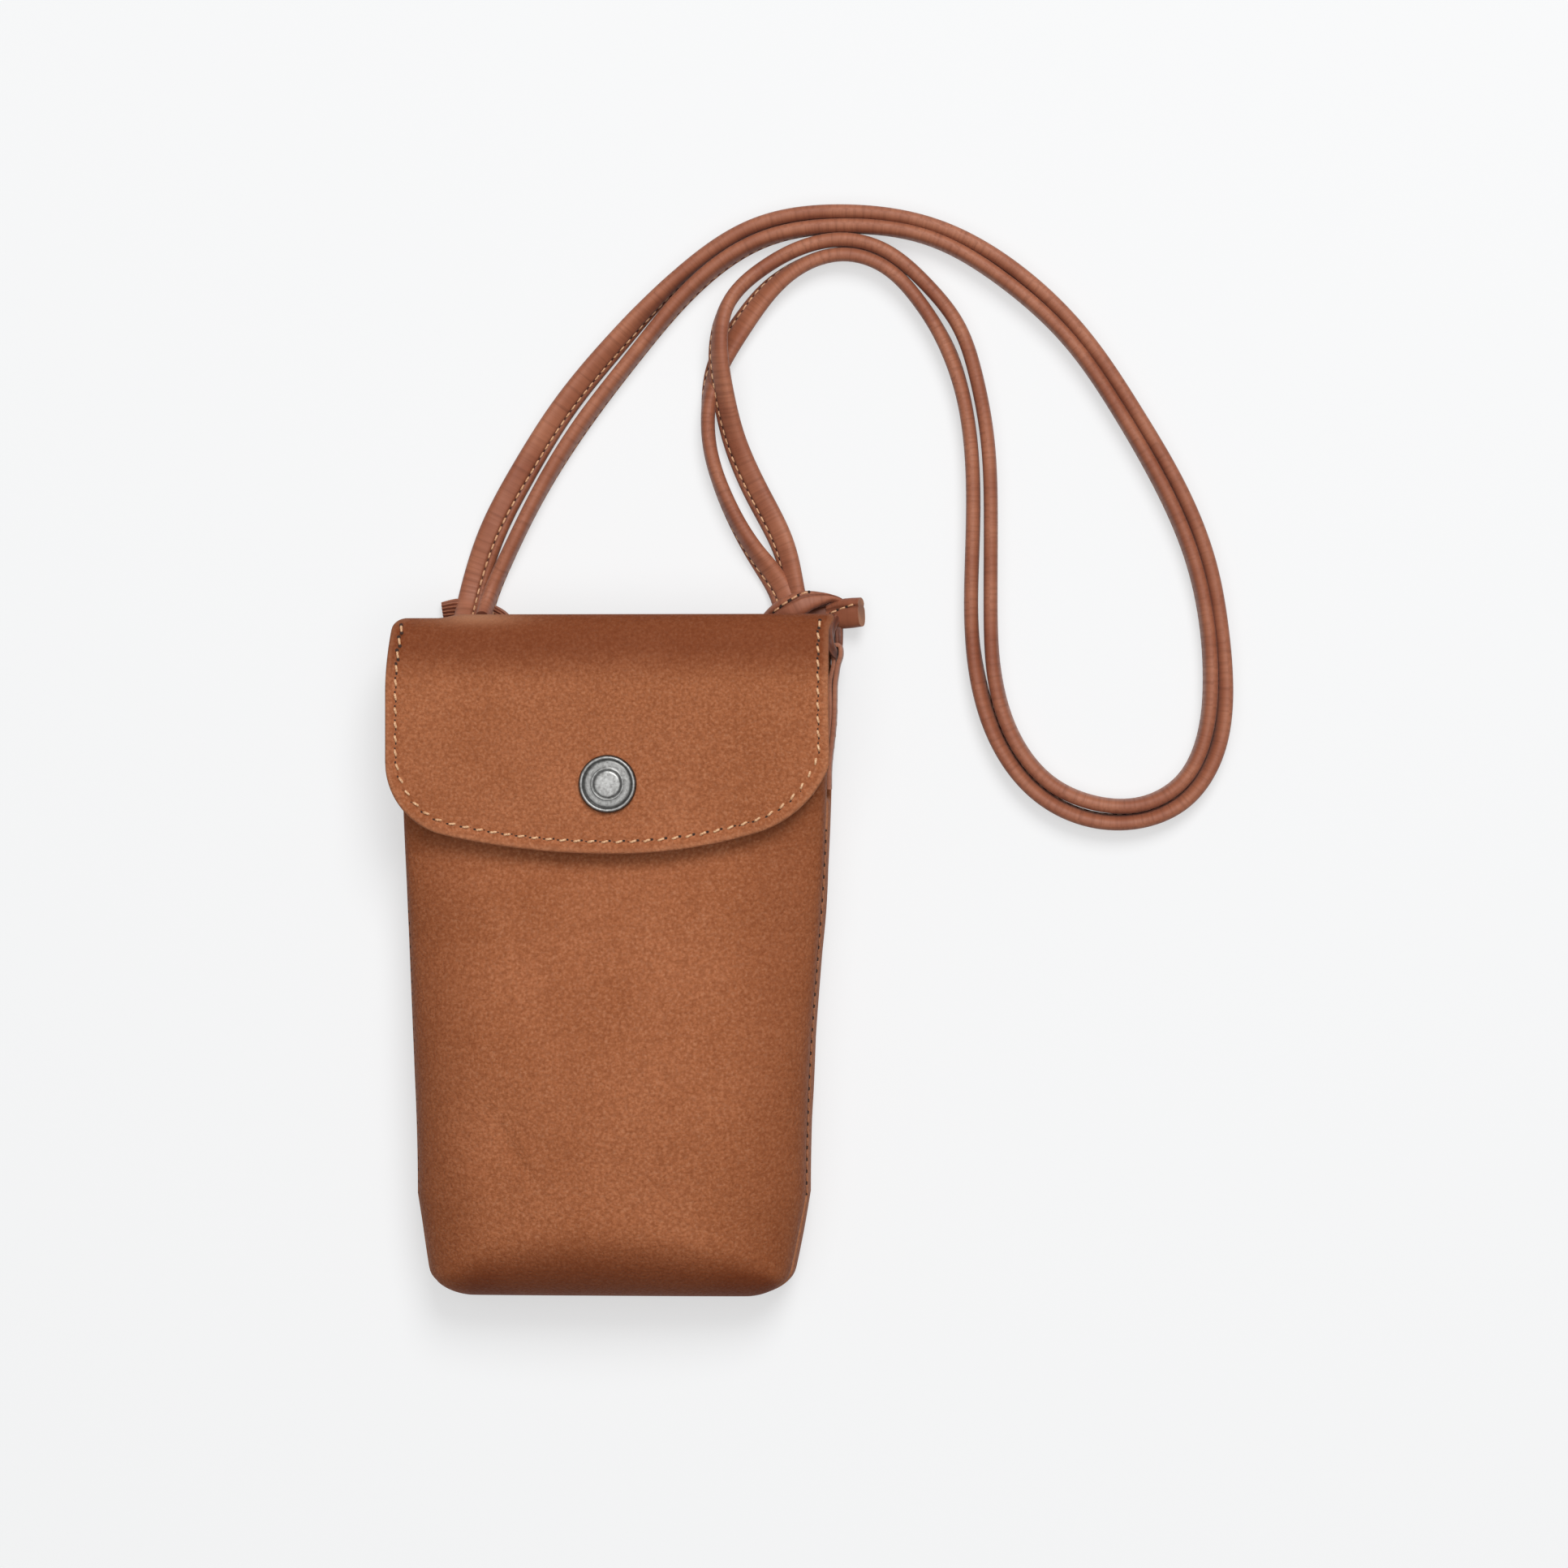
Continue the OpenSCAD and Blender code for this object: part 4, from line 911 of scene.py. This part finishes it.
def add_gussets():
    """Each gusset follows the outline from the mouth to the base, and bows out a little between its seams.
    Its front edge is turned in over the seam."""
    y = outline_rows(GUSSET_Y - RIM_IN, BASE_Y, 60)
    outline = even(np.stack([half_w(y), y, 0 * y], -1), 1.0)
    ahead = unit(np.gradient(outline, axis=0))
    out = np.stack([-ahead[:, 1], ahead[:, 0], 0 * ahead[:, 0]], -1)
    v = np.linspace(0, 1, 15)[None]
    low = (back_z(outline[:, 1]) + LEATHER_T + RIM_IN)[:, None]
    z = low + (SEAM_Z - RIM_IN - low) * v
    bow = 0.35 * np.sin(math.pi * v) - 0.1 + 0.2 * np.sin(outline[:, 1:2] / 7) * np.sin(math.pi * v)
    bow = bow - pressed(outline[:, :1] + bow, outline[:, 1:2], z)
    for side, node_name in ((1, "right_gusset"), (-1, "left_gusset")):
        x = side * (outline[:, 0, None] + out[:, 0, None] * bow)
        yy = outline[:, 1, None] + out[:, 1, None] * bow
        grid = np.stack([x + lean(yy), yy, z], -1)[:, ::-side]
        add_slab(node_name + "_leather", grid, LEATHER_T, body_calf, node_name, 0.5)


add_gussets()


def add_base():
    """The straight wall under the front's roll, bowed out a little in the middle."""
    x = np.linspace(-1, 1, 80)[:, None] * (BASE_W / 2 - RIM_IN)
    z = np.linspace(LEATHER_T + RIM_IN, SEAM_Z - RIM_IN, 12)[None]
    y = BASE_Y - 0.4 * np.sin((z - LEATHER_T) / SEAM_Z * math.pi / 2) + 0 * x
    add_slab("base_leather", np.stack([x + lean(y), y, z + 0 * x], -1), LEATHER_T, body_calf,
             "base_panel", 0.4)


add_base()


def add_seam_stitches():
    """Two rows of stitches in the step between the front and the gussets."""
    y = np.linspace(CORNER_Y, RISE_Y, 80)
    rows = []
    for side in (1, -1):
        path = np.stack([lean(y) + side * (half_w(y) - SEAM_STEP + 0.1), y, 0 * y + SEAM_Z], -1)
        rows.append((path, np.tile([side * 0.4, 0.0, 1.0], (len(y), 1))))
    add_stitches("seam_stitches", rows, 3.0, 2.1, 0.45, seam_thread, "pouch", ["seam_thread"])


add_seam_stitches()


# Flap

# The top fold falls away over a long soft quarter oval before it turns down the mouth
SOFT_RUN = 16.5
SOFT_DROP = 8.0
STITCH_SIDE = 2.75
STITCH_LOW = 3.1
CORNER_ROUND = 2.8


def strip_profile(step=0.8):
    """The outer face of the flap's leather from its tail on the back, round both folds, to the front edge."""
    back = np.linspace(TAIL_Y, FOLD_Y, 40)
    tail = np.stack([back, back_z(back) - LEATHER_T], -1)
    a = np.linspace(-math.pi / 2, 0, 20)[1:]
    tail_z = BACK_RISE - LEATHER_T
    low = np.stack([FOLD_Y + FOLD_R * np.cos(a), tail_z + FOLD_R + FOLD_R * np.sin(a)], -1)
    b = np.linspace(0, math.pi / 2, 40)
    top = np.stack([TOP_Y - SOFT_RUN + SOFT_RUN * np.cos(b), FLAP_Z - SOFT_DROP + SOFT_DROP * np.sin(b)], -1)
    front = np.array([[FLAP_LOW_Y, FLAP_Z]])
    line = np.concatenate([tail, low, top, front])
    return even(np.hstack([0 * line[:, :1], line]), step)


def lower_edge(x, inset=0.0):
    """Height of the flap's lower edge at x: a shallow arc in the middle, and a corner arc at each side that
    meets it and the side smoothly. The right corner is the rounder one."""
    y = np.zeros_like(x)
    for side, reach_x, corner_r, edge_r in ((-1, FLAP_LEFT, 19.4, 200.0), (1, 57.8, 28.8, 130.0)):
        centre_x = reach_x - corner_r
        middle = FLAP_LOW_Y + edge_r
        reach = math.sqrt((edge_r - corner_r) ** 2 - centre_x ** 2)
        meet = centre_x * (edge_r - inset) / (edge_r - corner_r)
        off = np.abs(x)
        arc_y = middle - np.sqrt((edge_r - inset) ** 2 - np.minimum(off, meet) ** 2)
        corner_y = middle - reach - np.sqrt(np.maximum((corner_r - inset) ** 2 - (off - centre_x) ** 2, 0))
        on_side = (np.sign(x) == side) | ((x == 0) & (side == 1))
        y = np.where(on_side, np.where(off < meet, arc_y, corner_y), y)
    return y


def flap_half(y, side):
    """Half width of the flap at a height on the front. The left side draws in by 1.5 t^1.5 towards the top,
    where its corner is round; the right side has a shallow waist and stands out at its sharp corner."""
    above = np.clip(y - TOP_Y + CORNER_ROUND, 0, None)
    corner = CORNER_ROUND - np.sqrt(np.maximum(CORNER_ROUND ** 2 - above ** 2, 0))
    left = FLAP_LEFT - 1.5 * np.clip((y - 68) / 20, 0, 1) ** 1.5 - corner
    right = FLAP_RIGHT - 0.2 * smooth((y - 52) / 12) + 1.1 * smooth((y - 84) / 3.5)
    return np.where(side < 0, left, right)


def shoulder(x, y):
    """How far the fold sinks towards its left end."""
    return 0.95 * smooth((-40 - x) / 6) * smooth((y - 66) / 18)


def outline_line(inset_side, inset_low, top):
    """The flap's outline drawn in, from the top of the right side round the lower edge to the left's top."""
    a = np.sin(np.linspace(1, -1, 401) * math.pi / 2)
    x = a * (np.where(a < 0, FLAP_LEFT, FLAP_RIGHT) - inset_side)
    y = lower_edge(x + np.sign(x) * inset_side * np.abs(a) ** 3) + inset_low
    up = np.linspace(0, 1, 60)[:, None]
    sides = [np.hstack([s * (flap_half(h, s) - inset_side), h]) for s, h in (
        (1, top + (y[0] - top) * up), (-1, y[-1] + (top - y[-1]) * up))]
    line = np.concatenate([sides[0][:-1], np.stack([x, y], -1), sides[1][1:]])
    line[:, 1] -= shoulder(line[:, 0], line[:, 1])
    return line


def lip_rise(y):
    """The lip of the flap stands off a little: a smooth step over its last centimetre."""
    return 0.8 * smooth((34 - y) / 10)


def edge_distance(x, y):
    """Distance of each point of the front from the flap's outline, by the nearest of many points on it."""
    line = outline_line(0.0, 0.0, TOP_Y)
    gap = np.full(x.shape, 1e9)
    for px, py in line:
        gap = np.minimum(gap, (x - px) ** 2 + (y - py) ** 2)
    return np.sqrt(gap)


PROFILE = strip_profile()
PROFILE_RUN = run_lengths(PROFILE)
FRONT_START = int(np.flatnonzero((PROFILE[:, 2] > 20) & (PROFILE[:, 1] < TOP_Y - SOFT_RUN))[0])
BRIDGE_MIDDLE = int(np.flatnonzero((PROFILE[:, 1] > TOP_Y - 0.05) & (PROFILE[:, 2] > 16))[0])
LINING_START = int(np.flatnonzero((PROFILE[:, 1] > TOP_Y - 0.05) & (PROFILE[:, 2] > 12.4))[0])


def profile_inset(depth):
    """The profile moved in by a depth, square to itself."""
    ahead = unit(np.gradient(PROFILE, axis=0))
    inward = np.stack([0 * ahead[:, 0], -ahead[:, 2], ahead[:, 1]], -1)
    return PROFILE + inward * depth


def strip_half(run, side):
    """Half width of the strip round the folds: the root's width on the back, widening over the mouth."""
    start, end = PROFILE_RUN[LINING_START], PROFILE_RUN[FRONT_START]
    root = FLAP_ROOT_W / 2
    return root + (flap_half(TOP_Y, side) - root) * smooth((run - start) / (0.4 * (end - start)))


def clustered(count, power=0.72):
    """Shares from -1 to 1 that crowd towards both ends."""
    a = np.linspace(-1, 1, count)
    return np.sign(a) * (1 - (1 - np.abs(a)) ** (1 / power))


def flap_grid(depth, inset, first, cols=151, front_rows=70):
    """A layer of the flap from row first of the profile, over the top fold and down the front. On the fold
    its rows follow the profile; on the front each column runs from the fold's end to the edge below it."""
    line = profile_inset(depth)
    q = clustered(cols)[None]
    fold = line[first:FRONT_START]
    on_strip = (fold[:, 2] <= FLAP_Z - SOFT_DROP - depth)[:, None]
    strip = strip_half(PROFILE_RUN[first:FRONT_START, None], q)
    x0 = q * (np.where(on_strip, strip, flap_half(fold[:, 1, None], q)) - inset)
    top_y = line[FRONT_START - 1, 1]
    low = lower_edge(q * (np.where(q < 0, FLAP_LEFT, FLAP_RIGHT) - inset), inset)
    t = (1 - (1 - np.linspace(0, 1, front_rows + 1)[1:, None]) ** 1.35)
    y1 = top_y + (low - top_y) * t
    x1 = q * (flap_half(y1, q) - inset)
    z1 = FLAP_Z + lip_rise(y1) - depth + 0 * x1
    upper = np.stack([x0, fold[:, 1, None] + 0 * q, fold[:, 2, None] + 0 * q], -1)
    grid = np.concatenate([upper, np.stack([x1, y1, z1], -1)])
    grid[..., 1] -= shoulder(grid[..., 0], grid[..., 1])
    return grid


def flap_relief(grid):
    """Height added to the flap's face: a channel pulled in by the stitches, a plump edge outside it, a
    shallow seat pressed round the cap, and the slow waves of soft leather."""
    x, y = grid[..., 0], grid[..., 1]
    front = smooth((grid[..., 2] - 20) / 6)
    gap = edge_distance(x, y)
    low_share = smooth((45 - y) / 14)
    line = STITCH_SIDE + (STITCH_LOW - STITCH_SIDE) * low_share
    channel = -0.28 * np.exp(-(((gap - line) / 0.75) ** 2))
    off = np.hypot(x - SNAP_X, y - SNAP_Y)
    seat = -0.12 * np.exp(-(((off - 8.6) / 1.6) ** 2))
    waves = 0.16 * np.sin(x / 13 + 0.6) * np.sin(y / 9) + 0.1 * np.sin(x / 31 - y / 15)
    return front * (channel + seat + waves * smooth((gap - 3) / 6) * smooth((off - 8) / 10)), gap


def add_flap():
    """The flap in leather from the middle of the mouth to its edge, its lining, and the tail on the back. The
    lining swells by 0.48 over the socket. The top fold turns from the bridge to the flap, and the low fold from
    the pouch to the bridge."""
    grid = flap_grid(0.0, RIM_IN, BRIDGE_MIDDLE)
    rise, gap = flap_relief(grid)
    grid[..., 2] += rise
    # Painted shade darkens the top fold where it turns away
    painted_shade = 0.66 * smooth((grid[..., 1] - 68) / 12)
    points, quads, edge, kept = slab(grid, LEATHER_T)
    # A painted highlight along the flap's edge and rims, and a painted sheen at the left end of the top fold
    edge_highlight_and_sheen = 0.15 * smooth((1.7 - gap) / 0.9) + 0.6 * hill(grid[..., 0], grid[..., 1], -36, 87.4, 12, 2.2)
    rim = np.maximum(edge ** 0.5 * 0.35, both_faces(edge_highlight_and_sheen, kept))
    flap = add_piece("flap_front_leather", points, quads, [body_calf], None,
                     ["flap_leather", "flap_bridge"], marks={"rim": rim, "painted_shade": both_faces(painted_shade, kept)})
    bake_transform(flap)

    under = flap_grid(LEATHER_T + 0.05, FLAP_LINING_IN + FLAP_LINING_T / 2, LINING_START, 121, 60)
    off = np.hypot(under[..., 0], under[..., 1] - SNAP_Y)
    over_socket = smooth((SOCKET_R + 1.4 - off) / 1.4) * (under[..., 2] > 26)
    under[..., 2] += flap_relief(under)[0] * 0.6 + 0.48 * over_socket
    points, quads, edge, kept = slab(under, FLAP_LINING_T)
    # Its rims get a painted highlight
    lining = add_piece("flap_lining_leather", points, quads, [lining_calf], None,
                       ["flap_lining", "bridge_lining"], marks={"rim": edge ** 0.5 * 0.5})
    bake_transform(lining)

    line = PROFILE[:BRIDGE_MIDDLE + 1]
    q = clustered(121)[None]
    x = q * (strip_half(PROFILE_RUN[:BRIDGE_MIDDLE + 1, None], q) - RIM_IN)
    corner = TAIL_CORNER_R - np.sqrt(np.maximum(TAIL_CORNER_R ** 2 - np.maximum(
        np.abs(x) - (FLAP_ROOT_W / 2 - TAIL_CORNER_R), 0) ** 2, 0))
    drop = np.clip((FOLD_Y - line[:, 1, None]) / (FOLD_Y - TAIL_Y), 0, 1) * (line[:, 2, None] < 9)
    y = line[:, 1, None] + (corner + RIM_IN) * drop
    y = y - shoulder(x, y)
    z = np.where(drop > 0, back_z(y) - LEATHER_T, line[:, 2, None])
    tail_points, tail_quads, edge, kept = slab(np.stack([x, y, z], -1), LEATHER_T)
    # Its rims get a painted highlight
    tail = add_piece("flap_tail_leather", tail_points, tail_quads, [body_calf], None,
                     ["flap_tail"], marks={"rim": edge ** 0.5 * 0.6})
    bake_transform(tail)


add_flap()


def add_flap_stitches():
    """Stitches round the flap, slanting across their line, from one end of the top fold to the other."""
    line = outline_line(STITCH_SIDE, STITCH_LOW, TOP_Y - 1.5)
    b = np.arccos(np.clip((line[:, 1] - (TOP_Y - SOFT_RUN)) / SOFT_RUN, 0, 1))
    z = FLAP_Z - SOFT_DROP + SOFT_DROP * np.sin(b) - 0.28 + lip_rise(line[:, 1])
    path = even(np.stack([line[:, 0], line[:, 1], z], -1), 0.5)
    tilt = np.clip((path[:, 1] - (TOP_Y - SOFT_RUN)) / SOFT_RUN, 0, 0.98)
    slope = SOFT_DROP / SOFT_RUN * tilt / np.sqrt(1 - tilt ** 2)
    out = unit(np.stack([0 * slope, slope, 1 + 0 * slope], -1))
    add_stitches("flap_stitches", [(path, out)], 3.6, 1.9, 0.66, thread, "flap", ["flap_thread"],
                 math.radians(14), 0.3)


add_flap_stitches()


def add_tail_stitches():
    """Stitches that hold the flap's tail on the back, along its sides and its end."""
    inset = 2.6
    half = FLAP_ROOT_W / 2 - inset
    r = TAIL_CORNER_R - inset
    a = np.linspace(0, math.pi / 2, 12)
    side_y = np.linspace(FOLD_Y - 1, TAIL_Y + TAIL_CORNER_R, 20)
    corner = np.stack([half - r + r * np.cos(a), TAIL_Y + TAIL_CORNER_R - r * np.sin(a)], -1)
    right = np.concatenate([np.stack([half + 0 * side_y, side_y], -1), corner[1:]])
    line = np.concatenate([right, right[::-1] * [-1, 1]])
    path = even(np.stack([line[:, 0], line[:, 1], back_z(line[:, 1]) - LEATHER_T], -1), 0.6)
    slope = np.gradient(back_z(path[:, 1] + np.array([[0.0], [0.1]])), axis=0)[0] / 0.1
    out = unit(np.stack([0 * slope, slope, -1 + 0 * slope], -1))
    add_stitches("tail_stitches", [(path, out)], 3.0, 2.1, 0.6, thread, "pouch", ["tail_thread"])


add_tail_stitches()


# Tabs


def add_tabs():
    """Each tab is a strip folded round the lace: up one leg, round the eye and down the other leg, with two
    rows of stitches through both legs."""
    leg, eye = TAB_LEG, TAB_EYE
    a = np.linspace(0, math.pi, 9)
    line = [[-leg, TAB_Y], [-leg, 55], [-leg, 66], [-leg, 73], [-0.62, 75.6], [-eye, 77.2],
            [-eye, EYE_Y + 3.2]]
    line += [[-eye * math.cos(t), EYE_Y + 3.2 + eye * math.sin(t)] for t in a[1:-1]]
    line += [[-x, y] for x, y in line[6::-1]]
    flat = spline(np.array([[x, y, 0] for x, y in line]), 0.6)
    r = TAB_T / 2
    turn = np.linspace(-math.pi / 2, math.pi / 2, 6)
    half = TAB_W / 2 - r
    square = np.abs(np.cos(turn)) ** 0.35
    section = np.concatenate([np.stack([half + r * square, r * np.sin(turn)], -1),
                              np.stack([np.linspace(half, -half, 8)[1:-1], r + 0 * np.arange(6)], -1),
                              np.stack([-half - r * square, -r * np.sin(turn)], -1),
                              np.stack([np.linspace(-half, half, 8)[1:-1], -r + 0 * np.arange(6)], -1)])
    rows = []
    for side, node_name in ((1, "right_tab"), (-1, "left_tab")):
        x = side * (TAB_X + flat[:, 0] - tab_lean(flat[:, 1])) + lean(flat[:, 1])
        middle = np.stack([x, flat[:, 1], TAB_Z + 0 * x], -1)
        ahead = unit(np.gradient(middle, axis=0))
        wide = np.tile([0.0, 0.0, 1.0], (len(middle), 1))
        points, quads, caps, uv = sweep(middle, wide, np.cross(ahead, wide), section)
        # Paler rounded edges on the tab: a painted highlight
        rim = np.tile(np.abs(section[:, 0]) > half, len(middle)) * 0.1
        add_piece(node_name + "_strip", points, quads, [lace_calf], "pouch", [node_name],
                  caps, uv, {"rim": rim})
        y = np.linspace(TAB_Y + 1, TAB_Y + 28, 30)
        for z in (TAB_Z - 2.4, TAB_Z + 2.4):
            path = np.stack([side * (TAB_X + leg + r - 0.25 - tab_lean(y)) + lean(y), y, 0 * y + z], -1)
            rows.append((path, np.tile([float(side), 0.0, 0.0], (len(y), 1))))
    add_stitches("tab_stitches", rows, 3.0, 2.1, 0.42, seam_thread, "pouch", ["tab_thread"], rise=0.1)


add_tabs()


# Snap

CAP_R = 7.5
CAP_H = 1.45
CAP_TURNS = 96
CAP_BEADS = 24


def add_cap():
    """The cap is a profile of shares of its radius and height, turned round the snap's axis: a raised rim, a
    sunk ring with fine beads standing in it, and a low button in the middle with plain rings. The beads rise
    by 0.1 sin(24 a)^2 exp(-((r - 0.68) / 0.045)^2) at an angle a and a share r of the radius."""
    profile = np.array([
        [0.92, -0.1], [0.98, 0.05], [1.0, 0.3], [1.0, 0.5], [0.985, 0.72], [0.96, 0.92], [0.935, 1.05],
        [0.907, 1.1], [0.88, 1.04], [0.855, 0.92], [0.835, 0.8], [0.815, 0.76], [0.795, 0.8], [0.775, 0.86],
        [0.74, 0.87], [0.67, 0.88], [0.6, 0.9], [0.575, 0.92], [0.555, 0.98], [0.533, 1.02], [0.512, 0.97],
        [0.492, 0.86], [0.467, 0.84], [0.45, 0.92], [0.43, 1.0], [0.37, 1.04], [0.25, 1.06], [0.12, 1.07],
        [0.06, 1.07],
    ])
    share, count = profile[None, :, 0], len(profile)
    angle = np.linspace(0, 2 * math.pi, CAP_TURNS, endpoint=False)[:, None]
    beads = 0.1 * np.sin(angle * CAP_BEADS) ** 2 * np.exp(-(((share - 0.68) / 0.045) ** 2))
    points = np.stack([SNAP_X + CAP_R * share * np.cos(angle), SNAP_Y + CAP_R * share * np.sin(angle),
                       FLAP_Z + profile[None, :, 1] * CAP_H + beads], -1).reshape(-1, 3)
    ring = count * np.arange(CAP_TURNS)
    quads = grid_faces(CAP_TURNS + 1, count) % len(points)
    hollow = np.interp(
        profile[:, 0],
        [0, 0.43, 0.467, 0.5, 0.533, 0.56, 0.6, 0.67, 0.75, 0.8, 0.82, 0.85, 0.88, 0.93, 0.97, 1.0],
        [0, 0.05, 0.85, 0.5, 0, 0.45, 0.4, 0.2, 0.4, 0.7, 0.95, 0.7, 0.05, 0.1, 0.6, 0.9])
    add_piece("snap_cap_plate", points, quads, [gunmetal], "flap", ["snap_cap"],
              [(ring + count - 1).tolist(), ring[::-1].tolist()], marks={"hollow": np.tile(hollow, CAP_TURNS)})


add_cap()


def finish_cad(finish, *names):
    """Gives rigid CAD nodes that stay on show their finish."""
    for name in names:
        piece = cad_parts[name]
        piece.data.materials.clear()
        piece.data.materials.append(finish)


finish_cad(nickel, "snap_socket", "snap_stud", "snap_post")
finish_cad(spring_wire, "snap_spring")


# Floor and light


def seen_share(tree):
    """1 on what the camera sees, straight, in a reflection or through something, and 0 for other light."""
    rays = node(tree, "LightPath").node.outputs
    seen = rays["Is Camera Ray"]
    for kind in ("Is Glossy Ray", "Is Transmission Ray"):
        seen = node(tree, "Math", {0: seen, 1: rays[kind]}, operation="ADD", use_clamp=True)
    return seen


def add_floor():
    """Seamless white paper: about half of the white that is seen is its own glow, which keeps the shadows on
    it light, and it throws no glow on the piece."""
    finish, tree, _ = new_finish("seamless_paper")
    seen = seen_share(tree)
    shaded(finish, "#a8a8a8", [(seen, 0, 1, 1, "#a9aaab")], {
        "Emission Strength": node(tree, "Math", {0: seen, 1: 0.54}, operation="MULTIPLY"),
        "Emission Color": (1.0, 1.0, 1.0, 1.0), "Roughness": 1.0, "Specular IOR Level": 0.0,
    })
    corners = [(1.5 * x, 1.5 * y, -0.0002) for x, y in ((-1, -1), (1, -1), (1, 1), (-1, 1))]
    mesh = bpy.data.meshes.new("floor")
    mesh.from_pydata(corners, [], [(0, 1, 2, 3)])
    mesh.materials.append(finish)
    floor = bpy.data.objects.new("floor", mesh)
    bpy.context.scene.collection.objects.link(floor)


def add_lamp(name, place, aim, size, watts):
    """A round softbox of a size, at a place in millimetres, turned to its aim."""
    lamp = bpy.data.lights.new(name, "AREA")
    lamp.shape = "DISK"
    lamp.size = size * MM
    lamp.energy = watts
    box = bpy.data.objects.new(name, lamp)
    away = unit(np.array(place, float) - np.array(aim, float))
    right = unit(np.cross([0.0, 1.0, 0.0], away))
    stand(box, place, right, np.cross(away, right), away)
    box.visible_camera = False


def add_world():
    """A white room for the camera and reflections, and a low even fill for the rest."""
    world = bpy.data.worlds.new("studio")
    bpy.context.scene.world = world
    tree = emptied(world)
    room = node(tree, "Background", {"Color": tone("#f6f7f8"), "Strength": 0.9})
    fill = node(tree, "Background", {"Color": (1, 1, 1, 1), "Strength": 0.12})
    node(tree, "OutputWorld", {"Surface": node(tree, "MixShader", {0: seen_share(tree), 1: fill, 2: room})})


add_floor()
add_lamp("overhead_softbox", (90, 40, 1600), (20, 20, 0), 2000, 14.2)
add_lamp("key_softbox", (500, 1400, 2000), (20, 20, 0), 1200, 34.5)
add_world()

bpy.context.scene.view_settings.view_transform = "Standard"
